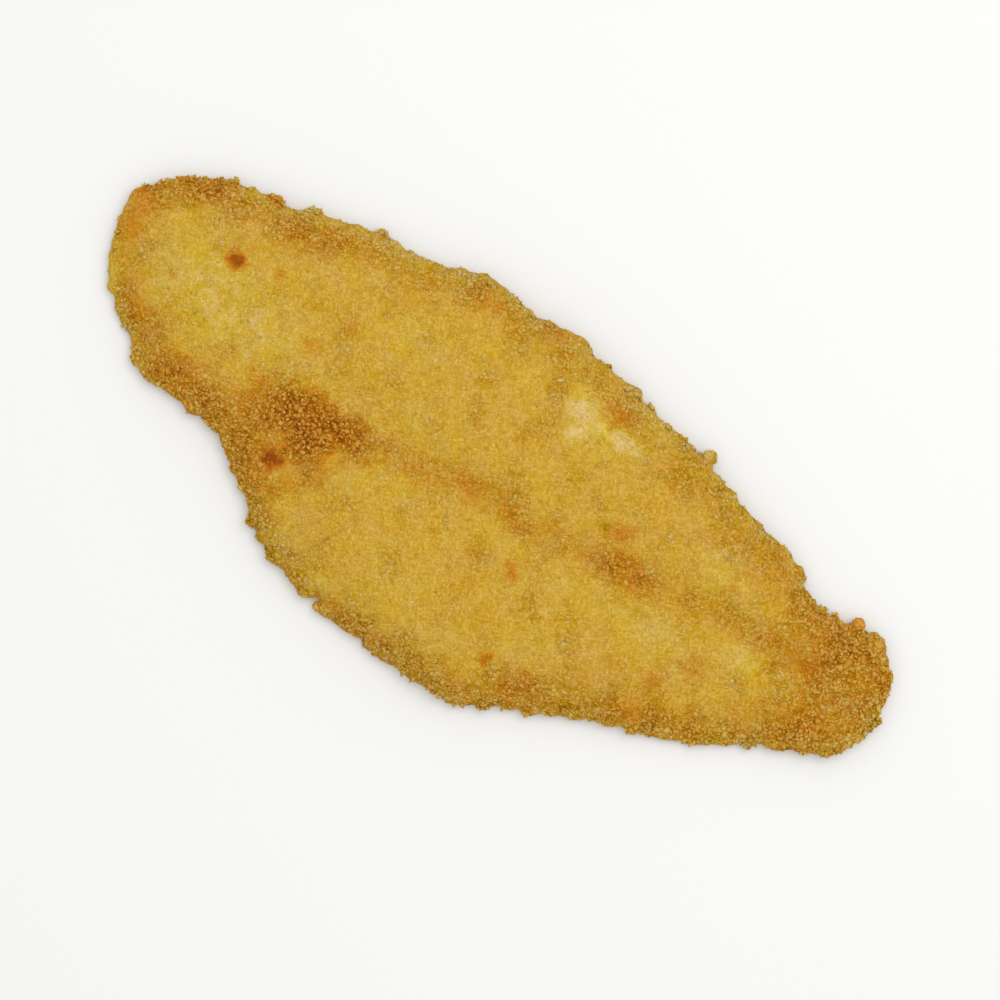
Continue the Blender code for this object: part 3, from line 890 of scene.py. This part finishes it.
def scattered(surface, spacing, likelihood, seed):
    """Seeded places on the skin: many are drawn evenly over its area, the first in each square of
    the unrolled skin is kept, and it stays with the likelihood of the crust there. Browning and
    tone there are the skin's, without the browning and the painted shade that its gaps between
    coarse crumbs add."""
    rng = np.random.default_rng(seed)
    corners = surface.places[surface.faces]
    across = np.cross(corners[:, 1] - corners[:, 0], corners[:, 2] - corners[:, 0])
    areas = np.linalg.norm(across, axis=1) / 2 * (likelihood[surface.faces].max(axis=1) > 0)
    summed = np.cumsum(areas)
    tries = int(CELL_TRIES * summed[-1] / spacing ** 2)
    picked = np.searchsorted(summed, rng.uniform(0.0, summed[-1], tries))
    shares = rng.uniform(size=(tries, 2))
    shares = np.where(shares.sum(axis=1, keepdims=True) > 1, 1 - shares, shares)
    shares = np.column_stack([1 - shares.sum(axis=1), shares])
    flat = (surface.unrolled[picked] * shares[..., None]).sum(axis=1)
    squares = np.floor(flat / spacing).astype(np.int64)
    _, first = np.unique(squares[:, 0] * ROW_STRIDE + squares[:, 1], return_index=True)
    chance = (likelihood[surface.faces[picked[first]]] * shares[first]).sum(axis=1)
    kept = first[rng.uniform(size=len(first)) < chance]
    nearest = surface.faces[picked[kept]]
    blend = shares[kept]

    def at(values):
        """The values of the three nearest points, each times its share."""
        return np.einsum("ij...,ij->i...", values[nearest], blend)

    coarse = at(surface.coarse)
    return SimpleNamespace(
        places=at(surface.places), normals=unit(at(surface.normals)),
        toast=at(surface.toast) - GAP_TOAST_AND_SHADE * coarse, tone=at(surface.tone) + GAP_SHADE_TONE * coarse,
        inwards=at(surface.inwards), count=len(kept), rng=rng)


def nub_spots():
    """Where the nubs sit, pointing away from the fillet, each with its width."""
    nubs = np.array(NUBS)
    kind = CRUMBS["rim_nubs"]
    outward = np.column_stack([nubs[:, :2] * np.array(NUB_HEADING), np.zeros(len(nubs))])
    rng = np.random.default_rng(kind.seed)
    return SimpleNamespace(
        places=nubs[:, :3], normals=unit(outward), widths=nubs[:, 3], toast=nubs[:, 4],
        toast_shift=np.zeros(len(nubs)), tone=rng.normal(*kind.tones, len(nubs)),
        count=len(nubs), rng=rng)


def clustered(sites, widths, crumb):
    """Crumbs packed into a clump at each site: seeded places inside a flattened ball as wide as the
    clump, denser towards its outside, with as many crumbs as the clump's surface holds."""
    rng, kind = sites.rng, CRUMBS["rim_clumps"]
    number = np.clip((CLUMP_FILL * (widths / crumb) ** 2).astype(int), LEAST_CLUMP, None)
    owner = np.repeat(np.arange(sites.count), number)
    total = len(owner)
    heading = unit(rng.normal(size=(total, 3)))
    reach = rng.uniform(CLUMP_CORE, 1.0, total) ** 0.5 * widths[owner] / 2
    upright = (heading * sites.normals[owner]).sum(axis=1, keepdims=True)
    heading = heading - CLUMP_FLATTEN * upright * sites.normals[owner]
    spots = SimpleNamespace(
        places=sites.places[owner] + heading * reach[:, None], normals=heading,
        toast=sites.toast[owner], count=total, rng=rng)
    spots.toast_shift = rng.normal(*kind.browning, total)
    spots.tone = sites.tone[owner] + rng.normal(*kind.tones, total)
    return spots, crumb * rng.lognormal(0.0, kind.widths, total)


def lump_ball(sides, rings):
    """A closed ball as (directions, triangles, map angle and radius of each corner, upper or not):
    a pole, rings at even steps down from it, and a pole below."""
    down = np.arange(1, rings + 1) / (rings + 1) * np.pi
    round_it = np.arange(sides) / sides * 2 * np.pi
    ring_down, ring_round = [grid.ravel() for grid in np.meshgrid(down, round_it, indexing="ij")]
    down = np.concatenate([[0.0], ring_down, [np.pi]])
    turn = np.concatenate([[0.0], ring_round, [0.0]])
    points = np.column_stack([np.sin(down) * np.cos(turn), np.sin(down) * np.sin(turn),
                              np.cos(down)])
    here = np.arange(sides)
    step = (here + 1) % sides
    last = 1 + (rings - 1) * sides
    faces = [np.column_stack([np.zeros(sides, int), 1 + here, 1 + step])]
    for ring in range(rings - 1):
        upper, lower = 1 + ring * sides, 1 + (ring + 1) * sides
        faces.append(np.column_stack([upper + here, lower + here, lower + step]))
        faces.append(np.column_stack([upper + here, lower + step, upper + step]))
    foot = np.column_stack([np.full(sides, last + sides), last + step, last + here])
    upper_faces = np.vstack(faces)
    upper_map = down[upper_faces] / down[last]
    foot_map = (np.pi - down[foot]) / (np.pi - down[last])
    faces = np.vstack([upper_faces, foot])
    radius = np.vstack([upper_map, foot_map])
    below = np.repeat([0, 1], [len(upper_faces), len(foot)])
    return SimpleNamespace(points=points, faces=faces, turn=turn[faces], radius=radius, below=below)


def crumb_map(ball, count):
    """The crumbs' own map: two squares of a grid for each crumb, its upper faces spread as a disc
    in one and its lower faces in the other."""
    columns = int(np.ceil(np.sqrt(2 * count)))
    square = 2 * np.arange(count)[:, None] + ball.below[None]
    column, row = (square % columns)[..., None], (square // columns)[..., None]
    spread = ball.radius * MAP_DISC
    across = (column + 0.5 + spread * np.cos(ball.turn)) / columns
    up = (row + 0.5 + spread * np.sin(ball.turn)) / columns
    return np.stack([across, up], axis=-1).reshape(-1, 2)


def crumb_mesh(name, spots, sizes):
    """Crumbs at the spots: each a ball with every point moved in or out by a seeded share,
    stretched, flattened, kept from standing up too far, turned and tilted at random, and set partly
    into the skin. Each has a browning and a tone of its own, the tone weaker where it is pale."""
    kind, rng, count = CRUMBS[name], spots.rng, spots.count
    ball = lump_ball(*kind.ball)
    per_crumb = len(ball.points)
    shape = ball.points * rng.uniform(1 - kind.rough, 1 + kind.rough, (count, per_crumb, 1))
    stretch = rng.uniform(*kind.stretch, (count, 1, 1))
    flatten = rng.uniform(*kind.flatten, (count, 1, 1))
    shape = shape * np.concatenate([stretch, 1 / stretch, flatten], axis=2)
    shape *= sizes[:, None, None] / 2
    shape[..., 2:] *= np.minimum(1.0, 2 * kind.tallest / (flatten * sizes[:, None, None]))
    up = unit(spots.normals + rng.normal(0.0, kind.tilt, (count, 3)))
    side = unit(np.cross(up, rng.normal(size=(count, 3))))
    over = np.cross(up, side)
    places = (shape[..., :1] * side[:, None] + shape[..., 1:2] * over[:, None]
              + shape[..., 2:] * up[:, None])
    lift = rng.uniform(*kind.lift, count) * sizes / 2
    places += (spots.places + spots.normals * lift[:, None])[:, None]
    places[..., 2] = np.maximum(places[..., 2], 0.0)
    places = places.reshape(-1, 3)
    faces = (ball.faces[None] + np.arange(count)[:, None, None] * per_crumb).reshape(-1, 3)
    palest = np.clip(spots.toast, LEAST_TOAST, PALEST_CRUMB)
    toast = np.clip(spots.toast + spots.toast_shift, palest, 1.0)
    tone = np.clip(spots.tone, DARKEST_TONE, TONE_LIMIT) * unevenness(toast)
    values = {"toast": np.repeat(toast, per_crumb), "tone": np.repeat(tone, per_crumb)}
    return write_mesh(name, places, faces, crumb_map(ball, count), values)


# ------------------------------------------------------------------ node groups and materials

def new_group(name, inputs, outputs):
    """An empty shader node group with these sockets, given as (name, kind, default)."""
    group = bpy.data.node_groups.new(name, "ShaderNodeTree")
    for label, kind, default in inputs:
        socket = group.interface.new_socket(label, in_out="INPUT", socket_type=kind)
        if default is not None:
            socket.default_value = default
    for label, kind in outputs:
        group.interface.new_socket(label, in_out="OUTPUT", socket_type=kind)
    return group, group.nodes.new("NodeGroupInput"), group.nodes.new("NodeGroupOutput")


def feed(tree, socket, value):
    """Link a socket to another one, or set it to a number or a vector."""
    if isinstance(value, bpy.types.NodeSocket):
        tree.links.new(value, socket)
    elif value is not None:
        socket.default_value = value


def maths(tree, operation, first, second=None, third=None):
    """A Math node on numbers or sockets. Returns its output."""
    node = tree.nodes.new("ShaderNodeMath")
    node.operation = operation
    for socket, value in zip(node.inputs, (first, second, third)):
        feed(tree, socket, value)
    return node.outputs[0]


def vector_maths(tree, operation, first, second):
    """A Vector Math node on two vectors, or on a vector and the number that scales it. Returns its
    vector."""
    node = tree.nodes.new("ShaderNodeVectorMath")
    node.operation = operation
    feed(tree, node.inputs[0], first)
    feed(tree, node.inputs["Scale"] if operation == "SCALE" else node.inputs[1], second)
    return node.outputs["Vector"]


def between(tree, value, from_low, from_high, to_low, to_high):
    """A Map Range node. Returns its output."""
    node = tree.nodes.new("ShaderNodeMapRange")
    tree.links.new(value, node.inputs["Value"])
    node.inputs["From Min"].default_value = from_low
    node.inputs["From Max"].default_value = from_high
    node.inputs["To Min"].default_value = to_low
    node.inputs["To Max"].default_value = to_high
    return node.outputs["Result"]


def joined(tree, *parts):
    """Three numbers as one vector."""
    node = tree.nodes.new("ShaderNodeCombineXYZ")
    for socket, part in zip(node.inputs, parts):
        feed(tree, socket, part)
    return node.outputs["Vector"]


def noise(tree, where, size, detail, roughness=0.5, output="Fac"):
    """A Noise node whose features have this size, in metres or from a socket. Returns its value."""
    node = tree.nodes.new("ShaderNodeTexNoise")
    tree.links.new(where, node.inputs["Vector"])
    if isinstance(size, bpy.types.NodeSocket):
        tree.links.new(maths(tree, "DIVIDE", 1.0, size), node.inputs["Scale"])
    else:
        node.inputs["Scale"].default_value = 1 / size
    node.inputs["Detail"].default_value = detail
    node.inputs["Roughness"].default_value = roughness
    return node.outputs[output]


def drawn_out_cells(tree, where, size, turn):
    """A Voronoi lattice drawn out along one heading, for long flakes: how far a point is from the
    middle of its cell, and two values of that cell."""
    laid = tree.nodes.new("ShaderNodeMapping")
    laid.vector_type = "TEXTURE"
    laid.inputs["Rotation"].default_value = (0.0, 0.0, np.radians(turn))
    laid.inputs["Scale"].default_value = FLAKE_STRETCH
    tree.links.new(where, laid.inputs["Vector"])
    cells = tree.nodes.new("ShaderNodeTexVoronoi")
    tree.links.new(laid.outputs["Vector"], cells.inputs["Vector"])
    tree.links.new(maths(tree, "DIVIDE", 1.0, size), cells.inputs["Scale"])
    parts = tree.nodes.new("ShaderNodeSeparateColor")
    tree.links.new(cells.outputs["Color"], parts.inputs["Color"])
    return SimpleNamespace(
        distance=cells.outputs["Distance"], red=parts.outputs["Red"], green=parts.outputs["Green"])


def grain_group():
    """Packed flakes on two warped lattices, each drawn out along its own heading, of which a point
    takes the nearer flake: a tone that differs from flake to flake, darkens in the gaps as painted
    shade and wanders finely, and a height that domes over each flake with fine roughness on it."""
    group, given, put = new_group(
        "crumb_grain",
        [("Vector", "NodeSocketVector", None), ("Size", "NodeSocketFloat", 0.0008)],
        [("Tone", "NodeSocketFloat"), ("Height", "NodeSocketFloat")])
    vector, size = given.outputs["Vector"], given.outputs["Size"]
    warp_size = maths(group, "MULTIPLY", size, WARP_SIZE)
    warp = noise(group, vector, warp_size, WARP_DETAIL, output="Color")
    shift = vector_maths(group, "SUBTRACT", warp, (0.5, 0.5, 0.5))
    far = vector_maths(group, "SCALE", shift, maths(group, "MULTIPLY", size, WARP_SHIFT))
    warped = vector_maths(group, "ADD", vector, far)
    first, second = [drawn_out_cells(group, warped, size, turn) for turn in FLAKE_TURNS]
    nearer = maths(group, "LESS_THAN", first.distance, second.distance)
    distance = maths(group, "MINIMUM", first.distance, second.distance)
    own_tone, own_height = [
        maths(group, "MULTIPLY_ADD", maths(group, "SUBTRACT", one, other), nearer, other)
        for one, other in ((first.red, second.red), (first.green, second.green))]
    fine = noise(group, vector, maths(group, "MULTIPLY", size, FINE_SIZE), *FINE_DETAIL)
    fine = between(group, fine, *NOISE_SPAN, -1.0, 1.0)
    tone = maths(group, "SUBTRACT", own_tone, 0.5)
    # Painted shade: the tone falls in the gaps between flakes.
    tone = maths(group, "SUBTRACT", tone, between(group, distance, *FLAKE_EDGE, 0.0, FLAKE_GAP_SHADE))
    feed(group, put.inputs["Tone"], maths(group, "MULTIPLY_ADD", fine, FINE_TONE, tone))
    fall = maths(group, "MULTIPLY", maths(group, "MULTIPLY", distance, distance), -FLAKE_FALL)
    height = maths(group, "MULTIPLY_ADD", own_height, FLAKE_HEIGHT, fall)
    feed(group, put.inputs["Height"], maths(group, "MULTIPLY_ADD", fine, FINE_HEIGHT, height))
    return group


def colour_group(colours):
    """Crust colour: a ramp from pale through golden, toasted and brown to dark over the browning,
    then made lighter or darker and whiter or yellower by the tone and the milkiness, with no more
    blue than a share of its green. The tone carries painted shade from gaps, which this makes
    browner, and its whitening of light tones is partly a painted sheen."""
    group, given, put = new_group(
        "toasted_colour",
        [("Toast", "NodeSocketFloat", 0.25), ("Tone", "NodeSocketFloat", 0.0),
         ("Milk", "NodeSocketFloat", 0.0)],
        [("Color", "NodeSocketColor")])
    tone = maths(group, "MINIMUM", given.outputs["Tone"], LIGHTEST_TONE)
    toast = maths(group, "MULTIPLY_ADD", tone, -TONE_TO_TOAST, given.outputs["Toast"])
    ramp = group.nodes.new("ShaderNodeValToRGB")
    feed(group, ramp.inputs["Fac"], toast)
    stops = ((0.0, colours.pale), (0.25, colours.golden), (0.5, colours.toasted),
             (0.75, colours.brown), (1.0, colours.dark))
    elements = ramp.color_ramp.elements
    while len(elements) < len(stops):
        elements.new(1.0)
    for element, (position, colour) in zip(elements, stops):
        element.position = position
        element.color = (*colour, 1.0)
    light = maths(group, "MULTIPLY_ADD", tone, TONE_TO_LIGHT, 1.0)
    milk = maths(group, "MULTIPLY_ADD", tone, TONE_TO_MILK_AND_SHEEN,
                 maths(group, "ADD", given.outputs["Milk"], 1.0))
    shares = joined(group, light, light, milk)
    parts = group.nodes.new("ShaderNodeSeparateXYZ")
    feed(group, parts.inputs[0], vector_maths(group, "MULTIPLY", ramp.outputs["Color"], shares))
    red, green, blue = parts.outputs
    blue = maths(group, "MINIMUM", blue, maths(group, "MULTIPLY", green, WHITEST))
    feed(group, put.inputs["Color"], joined(group, red, green, blue))
    return group


def place_group(tree, group):
    """Put a node group into a material."""
    node = tree.nodes.new("ShaderNodeGroup")
    node.node_tree = group
    return node


def attribute(tree, name):
    """A named value of the mesh."""
    node = tree.nodes.new("ShaderNodeAttribute")
    node.attribute_name = name
    return node.outputs["Fac"]


def shared_groups():
    """The node groups that every crust material uses, built once."""
    colours = bpy.context.scene.fillet_colours
    for name, build in (("crumb_grain", grain_group),
                        ("toasted_colour", lambda: colour_group(colours))):
        if name not in bpy.data.node_groups:
            build()
    return bpy.data.node_groups["crumb_grain"], bpy.data.node_groups["toasted_colour"]


def crust_material(piece):
    """Fried crust: its colour from the mesh's browning, the tones of its grains with painted shade
    in their gaps and a soft mottle, a slightly oily gloss that comes and goes, and the grains as
    fine relief. The skin's grains show more where it is coarse and light passes a little way into
    it; each crumb has its own tone."""
    name, grain_size, grain_share, bump, roughness = MATERIALS[piece]
    grain, colour = shared_groups()
    material = bpy.data.materials.new(name)
    material.use_nodes = True
    tree = material.node_tree
    shader = tree.nodes["Principled BSDF"]
    where = tree.nodes.new("ShaderNodeTexCoord").outputs["Object"]
    grains = place_group(tree, grain)
    tree.links.new(where, grains.inputs["Vector"])
    grains.inputs["Size"].default_value = grain_size
    tone = maths(tree, "MULTIPLY", grains.outputs["Tone"], grain_share)
    height = grains.outputs["Height"]
    if piece == SKIN:
        shown = attribute(tree, "shown")
        tone = maths(tree, "MULTIPLY", tone, shown)
        height = maths(tree, "MULTIPLY", height, shown)
        shader.inputs["Subsurface Weight"].default_value = SOFT
        shader.inputs["Subsurface Scale"].default_value = SOFT_DEPTH
        shader.inputs["Subsurface Radius"].default_value = SOFT_BY_COLOUR
    tone = maths(tree, "ADD", tone, attribute(tree, "tone"))
    size, share = SOFT_MOTTLE
    mottle = between(tree, noise(tree, where, size, SOFT_DETAIL), *NOISE_SPAN, -share, share)
    tone = maths(tree, "ADD", tone, mottle)
    crust = place_group(tree, colour)
    tree.links.new(attribute(tree, "toast"), crust.inputs["Toast"])
    tree.links.new(tone, crust.inputs["Tone"])
    size, share = MILKY
    milk = between(tree, noise(tree, where, size, SOFT_DETAIL), *NOISE_SPAN, -share, share)
    tree.links.new(milk, crust.inputs["Milk"])
    tree.links.new(crust.outputs["Color"], shader.inputs["Base Color"])
    size, span = OILY
    oil = between(tree, noise(tree, where, size, OILY_DETAIL), *span, *roughness)
    tree.links.new(oil, shader.inputs["Roughness"])
    shader.inputs["Specular IOR Level"].default_value = GLOSS
    relief = tree.nodes.new("ShaderNodeBump")
    relief.inputs["Strength"].default_value = 1.0
    relief.inputs["Distance"].default_value = bump
    tree.links.new(height, relief.inputs["Height"])
    tree.links.new(relief.outputs["Normal"], shader.inputs["Normal"])
    return material


def add_crumbs(name, spots, sizes):
    """Make a kind of crumb at the spots, as wide as the sizes, and add it as a piece."""
    add_piece(name, crumb_mesh(name, spots, sizes), crust_material(name))


def add_plain_crumbs(name, surface, likelihood, spacing, width):
    """Scatter a kind of crumb whose browning, tone and width differ from crumb to crumb alone."""
    kind = CRUMBS[name]
    spots = scattered(surface, spacing, likelihood, kind.seed)
    spots.toast_shift = spots.rng.normal(*kind.browning, spots.count)
    spots.tone += spots.rng.normal(*kind.tones, spots.count)
    add_crumbs(name, spots, width * spots.rng.lognormal(0.0, kind.widths, spots.count))


# ------------------------------------------------------------------ operators

class FILLET_OT_make_skin(bpy.types.Operator):
    """Make the fillet's skin: the plain form on a fine loft, roughened by clumps and grains"""

    bl_idname = "fillet.make_skin"
    bl_label = "Make skin"

    def execute(self, context):
        """Work out the loft, its browning and its relief, and write the mesh."""
        form, crust = context.scene.fillet_form, context.scene.fillet_crust
        skin = plain_skin(form)
        flat = skin.places[:, :2]
        under = (np.arange(len(flat)) >= skin.below.min()).astype(float)
        toast, coarse = browning_and_coarseness(flat, skin.inwards, form)
        toast += UNDER_TOAST * under
        places = roughened(skin, coarse, crust)
        faces = np.vstack([skin.above, skin.below])
        # Between coarse crumbs the skin is browner and darker in tone: partly browning, partly
        # painted shade.
        values = {
            "toast": toast + GAP_TOAST_AND_SHADE * coarse, "coarse": coarse, "inwards": skin.inwards,
            "under": under, "tone": coarse * (waves(flat, *TONE_PATCHES) - GAP_SHADE_TONE),
            "shown": (GRAINS_SHOWN[0] + GRAINS_SHOWN[1] * coarse) * unevenness(toast),
        }
        mesh = write_mesh(SKIN, places, faces, skin_map(skin), values)
        add_piece(SKIN, mesh, crust_material(SKIN))
        return {"FINISHED"}


class FILLET_OT_make_golden_crumbs(bpy.types.Operator):
    """Make the golden crumbs that cover the top"""

    bl_idname = "fillet.make_golden_crumbs"
    bl_label = "Make golden crumbs"

    def execute(self, context):
        """Scatter golden crumbs, fewer where the crust is coarse."""
        crust, kind = context.scene.fillet_crust, CRUMBS["golden_crumbs"]
        surface = skin_surface()
        cover, least = GOLDEN_COVER
        patches = np.clip(cover + waves(surface.places[:, :2], *GRAIN_PATCHES), least, 1.0)
        likelihood = patches * (1 - GOLDEN_IF_COARSE * surface.coarse) * surface.top
        spots = scattered(surface, crust.golden_spacing / MM, likelihood, kind.seed)
        spots.toast_shift = spots.rng.normal(*kind.browning, spots.count)
        sizes = spots.rng.lognormal(0.0, kind.widths, spots.count).clip(*kind.limits)
        spots.tone += spots.rng.normal(*kind.tones, spots.count) + LARGE_LIGHTER * (sizes - 1)
        add_crumbs("golden_crumbs", spots, sizes * (crust.golden_crumb / MM))
        return {"FINISHED"}


class FILLET_OT_make_toasted_crumbs(bpy.types.Operator):
    """Make the coarse toasted crumbs of the rim, the tail and the browned places"""

    bl_idname = "fillet.make_toasted_crumbs"
    bl_label = "Make toasted crumbs"

    def execute(self, context):
        """Scatter coarse crumbs where the crust is coarse, some much lighter than the skin."""
        crust, kind = context.scene.fillet_crust, CRUMBS["toasted_crumbs"]
        surface = skin_surface()
        slope, start = TOASTED_COVER
        likelihood = np.clip(slope * surface.coarse + start, 0.0, 1.0) * surface.top
        spots = scattered(surface, crust.toasted_spacing / MM, likelihood, kind.seed)
        browned = (spots.toast - LIGHT_ON_BROWN).clip(0.0)
        paler, on_brown = TOASTED_PALER
        paler = paler + on_brown * browned
        spots.toast_shift = -spots.rng.uniform(0.0, 1.0, spots.count) * paler
        sizes = spots.rng.lognormal(0.0, kind.widths, spots.count).clip(*kind.limits)
        spots.tone += spots.rng.normal(*kind.tones, spots.count) + LARGE_LIGHTER * (sizes - 1)
        spots.tone += browned * spots.rng.uniform(*TOASTED_LIGHTER, spots.count)
        add_crumbs("toasted_crumbs", spots, sizes * (crust.toasted_crumb / MM))
        return {"FINISHED"}


class FILLET_OT_make_pale_flakes(bpy.types.Operator):
    """Make the pale flakes of the patch where the crust hardly browned"""

    bl_idname = "fillet.make_pale_flakes"
    bl_label = "Make pale flakes"

    def execute(self, context):
        """Scatter wide flat flakes over the pale patch."""
        crust = context.scene.fillet_crust
        surface = skin_surface()
        likelihood = spots_sum(surface.places[:, :2], PALE_PLACES) * surface.top
        add_plain_crumbs(
            "pale_flakes", surface, likelihood, crust.pale_spacing / MM, crust.pale_flake / MM)
        return {"FINISHED"}


class FILLET_OT_make_rim_clumps(bpy.types.Operator):
    """Make the clumps of crust that stand out along the rim"""

    bl_idname = "fillet.make_rim_clumps"
    bl_label = "Make rim clumps"

    def execute(self, context):
        """Scatter clumps close to the rim and pack each with crumbs."""
        crust, kind = context.scene.fillet_crust, CRUMBS["rim_clumps"]
        surface = skin_surface()
        band, least = CLUMP_BAND
        smooth, more = CLUMP_COVER
        near = np.exp(-(surface.inwards / band) ** 2) * surface.top
        likelihood = np.where(near > least, near * (smooth + more * surface.coarse), 0.0)
        sites = scattered(surface, crust.rim_clump_spacing / MM, likelihood, kind.seed)
        widths = crust.rim_clump / MM * sites.rng.lognormal(0.0, kind.widths, sites.count)
        add_crumbs("rim_clumps", *clustered(sites, widths, crust.rim_clump_crumb / MM))
        return {"FINISHED"}


class FILLET_OT_make_rim_nubs(bpy.types.Operator):
    """Make the few round nubs that stand out from the rim"""

    bl_idname = "fillet.make_rim_nubs"
    bl_label = "Make rim nubs"

    def execute(self, context):
        """Put a lumpy ball of crust at each nub's place."""
        spots = nub_spots()
        add_crumbs("rim_nubs", spots, spots.widths)
        return {"FINISHED"}


class FILLET_OT_make_underside_crumbs(bpy.types.Operator):
    """Make the crumbs of the underside, which the fillet rests on"""

    bl_idname = "fillet.make_underside_crumbs"
    bl_label = "Make underside crumbs"

    def execute(self, context):
        """Scatter crumbs all over the underside, none reaching below the resting plane."""
        crust = context.scene.fillet_crust
        surface = skin_surface()
        add_plain_crumbs(
            "underside_crumbs", surface, UNDERSIDE_COVER * ~surface.top,
            crust.underside_spacing / MM, crust.underside_crumb / MM)
        return {"FINISHED"}


def add_lamp(name, place, aim, size, power):
    """A square lamp at a place, turned to face the point it is aimed at."""
    data = bpy.data.lights.new(name, "AREA")
    data.shape = "SQUARE"
    data.size = size
    data.energy = power
    lamp = bpy.data.objects.new(name, data)
    lamp.location = place
    lamp.rotation_mode = "QUATERNION"
    lamp.rotation_quaternion = (Vector(aim) - Vector(place)).to_track_quat("-Z", "Y")
    bpy.context.scene.collection.objects.link(lamp)


def add_floor(colour):
    """A wide plain floor at the resting plane."""
    reach = FLOOR_REACH
    mesh = bpy.data.meshes.new("floor")
    corners = ((-reach, -reach, 0), (reach, -reach, 0), (reach, reach, 0), (-reach, reach, 0))
    mesh.from_pydata(corners, [], [(0, 1, 2, 3)])
    material = bpy.data.materials.new("floor_plain")
    material.use_nodes = True
    shader = material.node_tree.nodes["Principled BSDF"]
    shader.inputs["Base Color"].default_value = (*colour, 1.0)
    shader.inputs["Roughness"].default_value = FLOOR_ROUGHNESS
    mesh.materials.append(material)
    floor = bpy.data.objects.new("floor", mesh)
    bpy.context.scene.collection.objects.link(floor)


class FILLET_OT_make_stage(bpy.types.Operator):
    """Make the floor, the soft light and the camera straight above"""

    bl_idname = "fillet.make_stage"
    bl_label = "Make stage"

    def execute(self, context):
        """Add the floor, the sky, the lamp and the camera."""
        scene = context.scene
        stage = scene.fillet_stage
        add_floor(stage.floor)
        world = bpy.data.worlds.new("soft_sky")
        world.use_nodes = True
        sky = world.node_tree.nodes["Background"]
        sky.inputs["Color"].default_value = (1.0, 1.0, 1.0, 1.0)
        sky.inputs["Strength"].default_value = stage.sky
        scene.world = world
        add_lamp("key", KEY_PLACE, (0.0, 0.0, 0.0), KEY_SIDE, stage.key)
        data = bpy.data.cameras.new("camera")
        data.sensor_width = SENSOR
        rim = scene.fillet_form.rim_height
        data.lens = SENSOR * (stage.camera_height - rim) / stage.field
        camera = bpy.data.objects.new("camera", data)
        camera.location = (*CAMERA_OVER, stage.camera_height)
        camera.rotation_euler = (0.0, 0.0, np.radians(CAMERA_TURN))
        scene.collection.objects.link(camera)
        scene.camera = camera
        scene.view_settings.view_transform = "Standard"
        return {"FINISHED"}


OPERATORS = (
    FILLET_OT_make_skin, FILLET_OT_make_golden_crumbs,
    FILLET_OT_make_toasted_crumbs, FILLET_OT_make_pale_flakes, FILLET_OT_make_rim_clumps,
    FILLET_OT_make_rim_nubs, FILLET_OT_make_underside_crumbs, FILLET_OT_make_stage,
)


class FILLET_PT_panel(bpy.types.Panel):
    """Sizes, colours and the steps that make the fillet"""

    bl_idname = "FILLET_PT_panel"
    bl_label = "Fried fish fillet"
    bl_space_type = "VIEW_3D"
    bl_region_type = "UI"
    bl_category = "Fillet"

    def draw(self, context):
        """List every size and colour, then the steps in order."""
        for name, group in GROUPS.items():
            box = self.layout.box()
            box.label(text=group.__doc__)
            for label in group.__annotations__:
                box.prop(getattr(context.scene, name), label)
        for operator in OPERATORS:
            self.layout.operator(operator.bl_idname)


def register():
    """Register the classes and hang the sizes on the scene."""
    for group in GROUPS.values():
        bpy.utils.register_class(group)
    for operator in OPERATORS:
        bpy.utils.register_class(operator)
    bpy.utils.register_class(FILLET_PT_panel)
    for name, group in GROUPS.items():
        setattr(bpy.types.Scene, name, bpy.props.PointerProperty(type=group))


def unregister():
    """Undo register."""
    for name in GROUPS:
        delattr(bpy.types.Scene, name)
    bpy.utils.unregister_class(FILLET_PT_panel)
    for operator in reversed(OPERATORS):
        bpy.utils.unregister_class(operator)
    for group in GROUPS.values():
        bpy.utils.unregister_class(group)


def main():
    register()
    bpy.ops.fillet.make_skin()
    bpy.ops.fillet.make_golden_crumbs()
    bpy.ops.fillet.make_toasted_crumbs()
    bpy.ops.fillet.make_pale_flakes()
    bpy.ops.fillet.make_rim_clumps()
    bpy.ops.fillet.make_rim_nubs()
    bpy.ops.fillet.make_underside_crumbs()
    bpy.ops.fillet.make_stage()


if __name__ == "__main__":
    main()
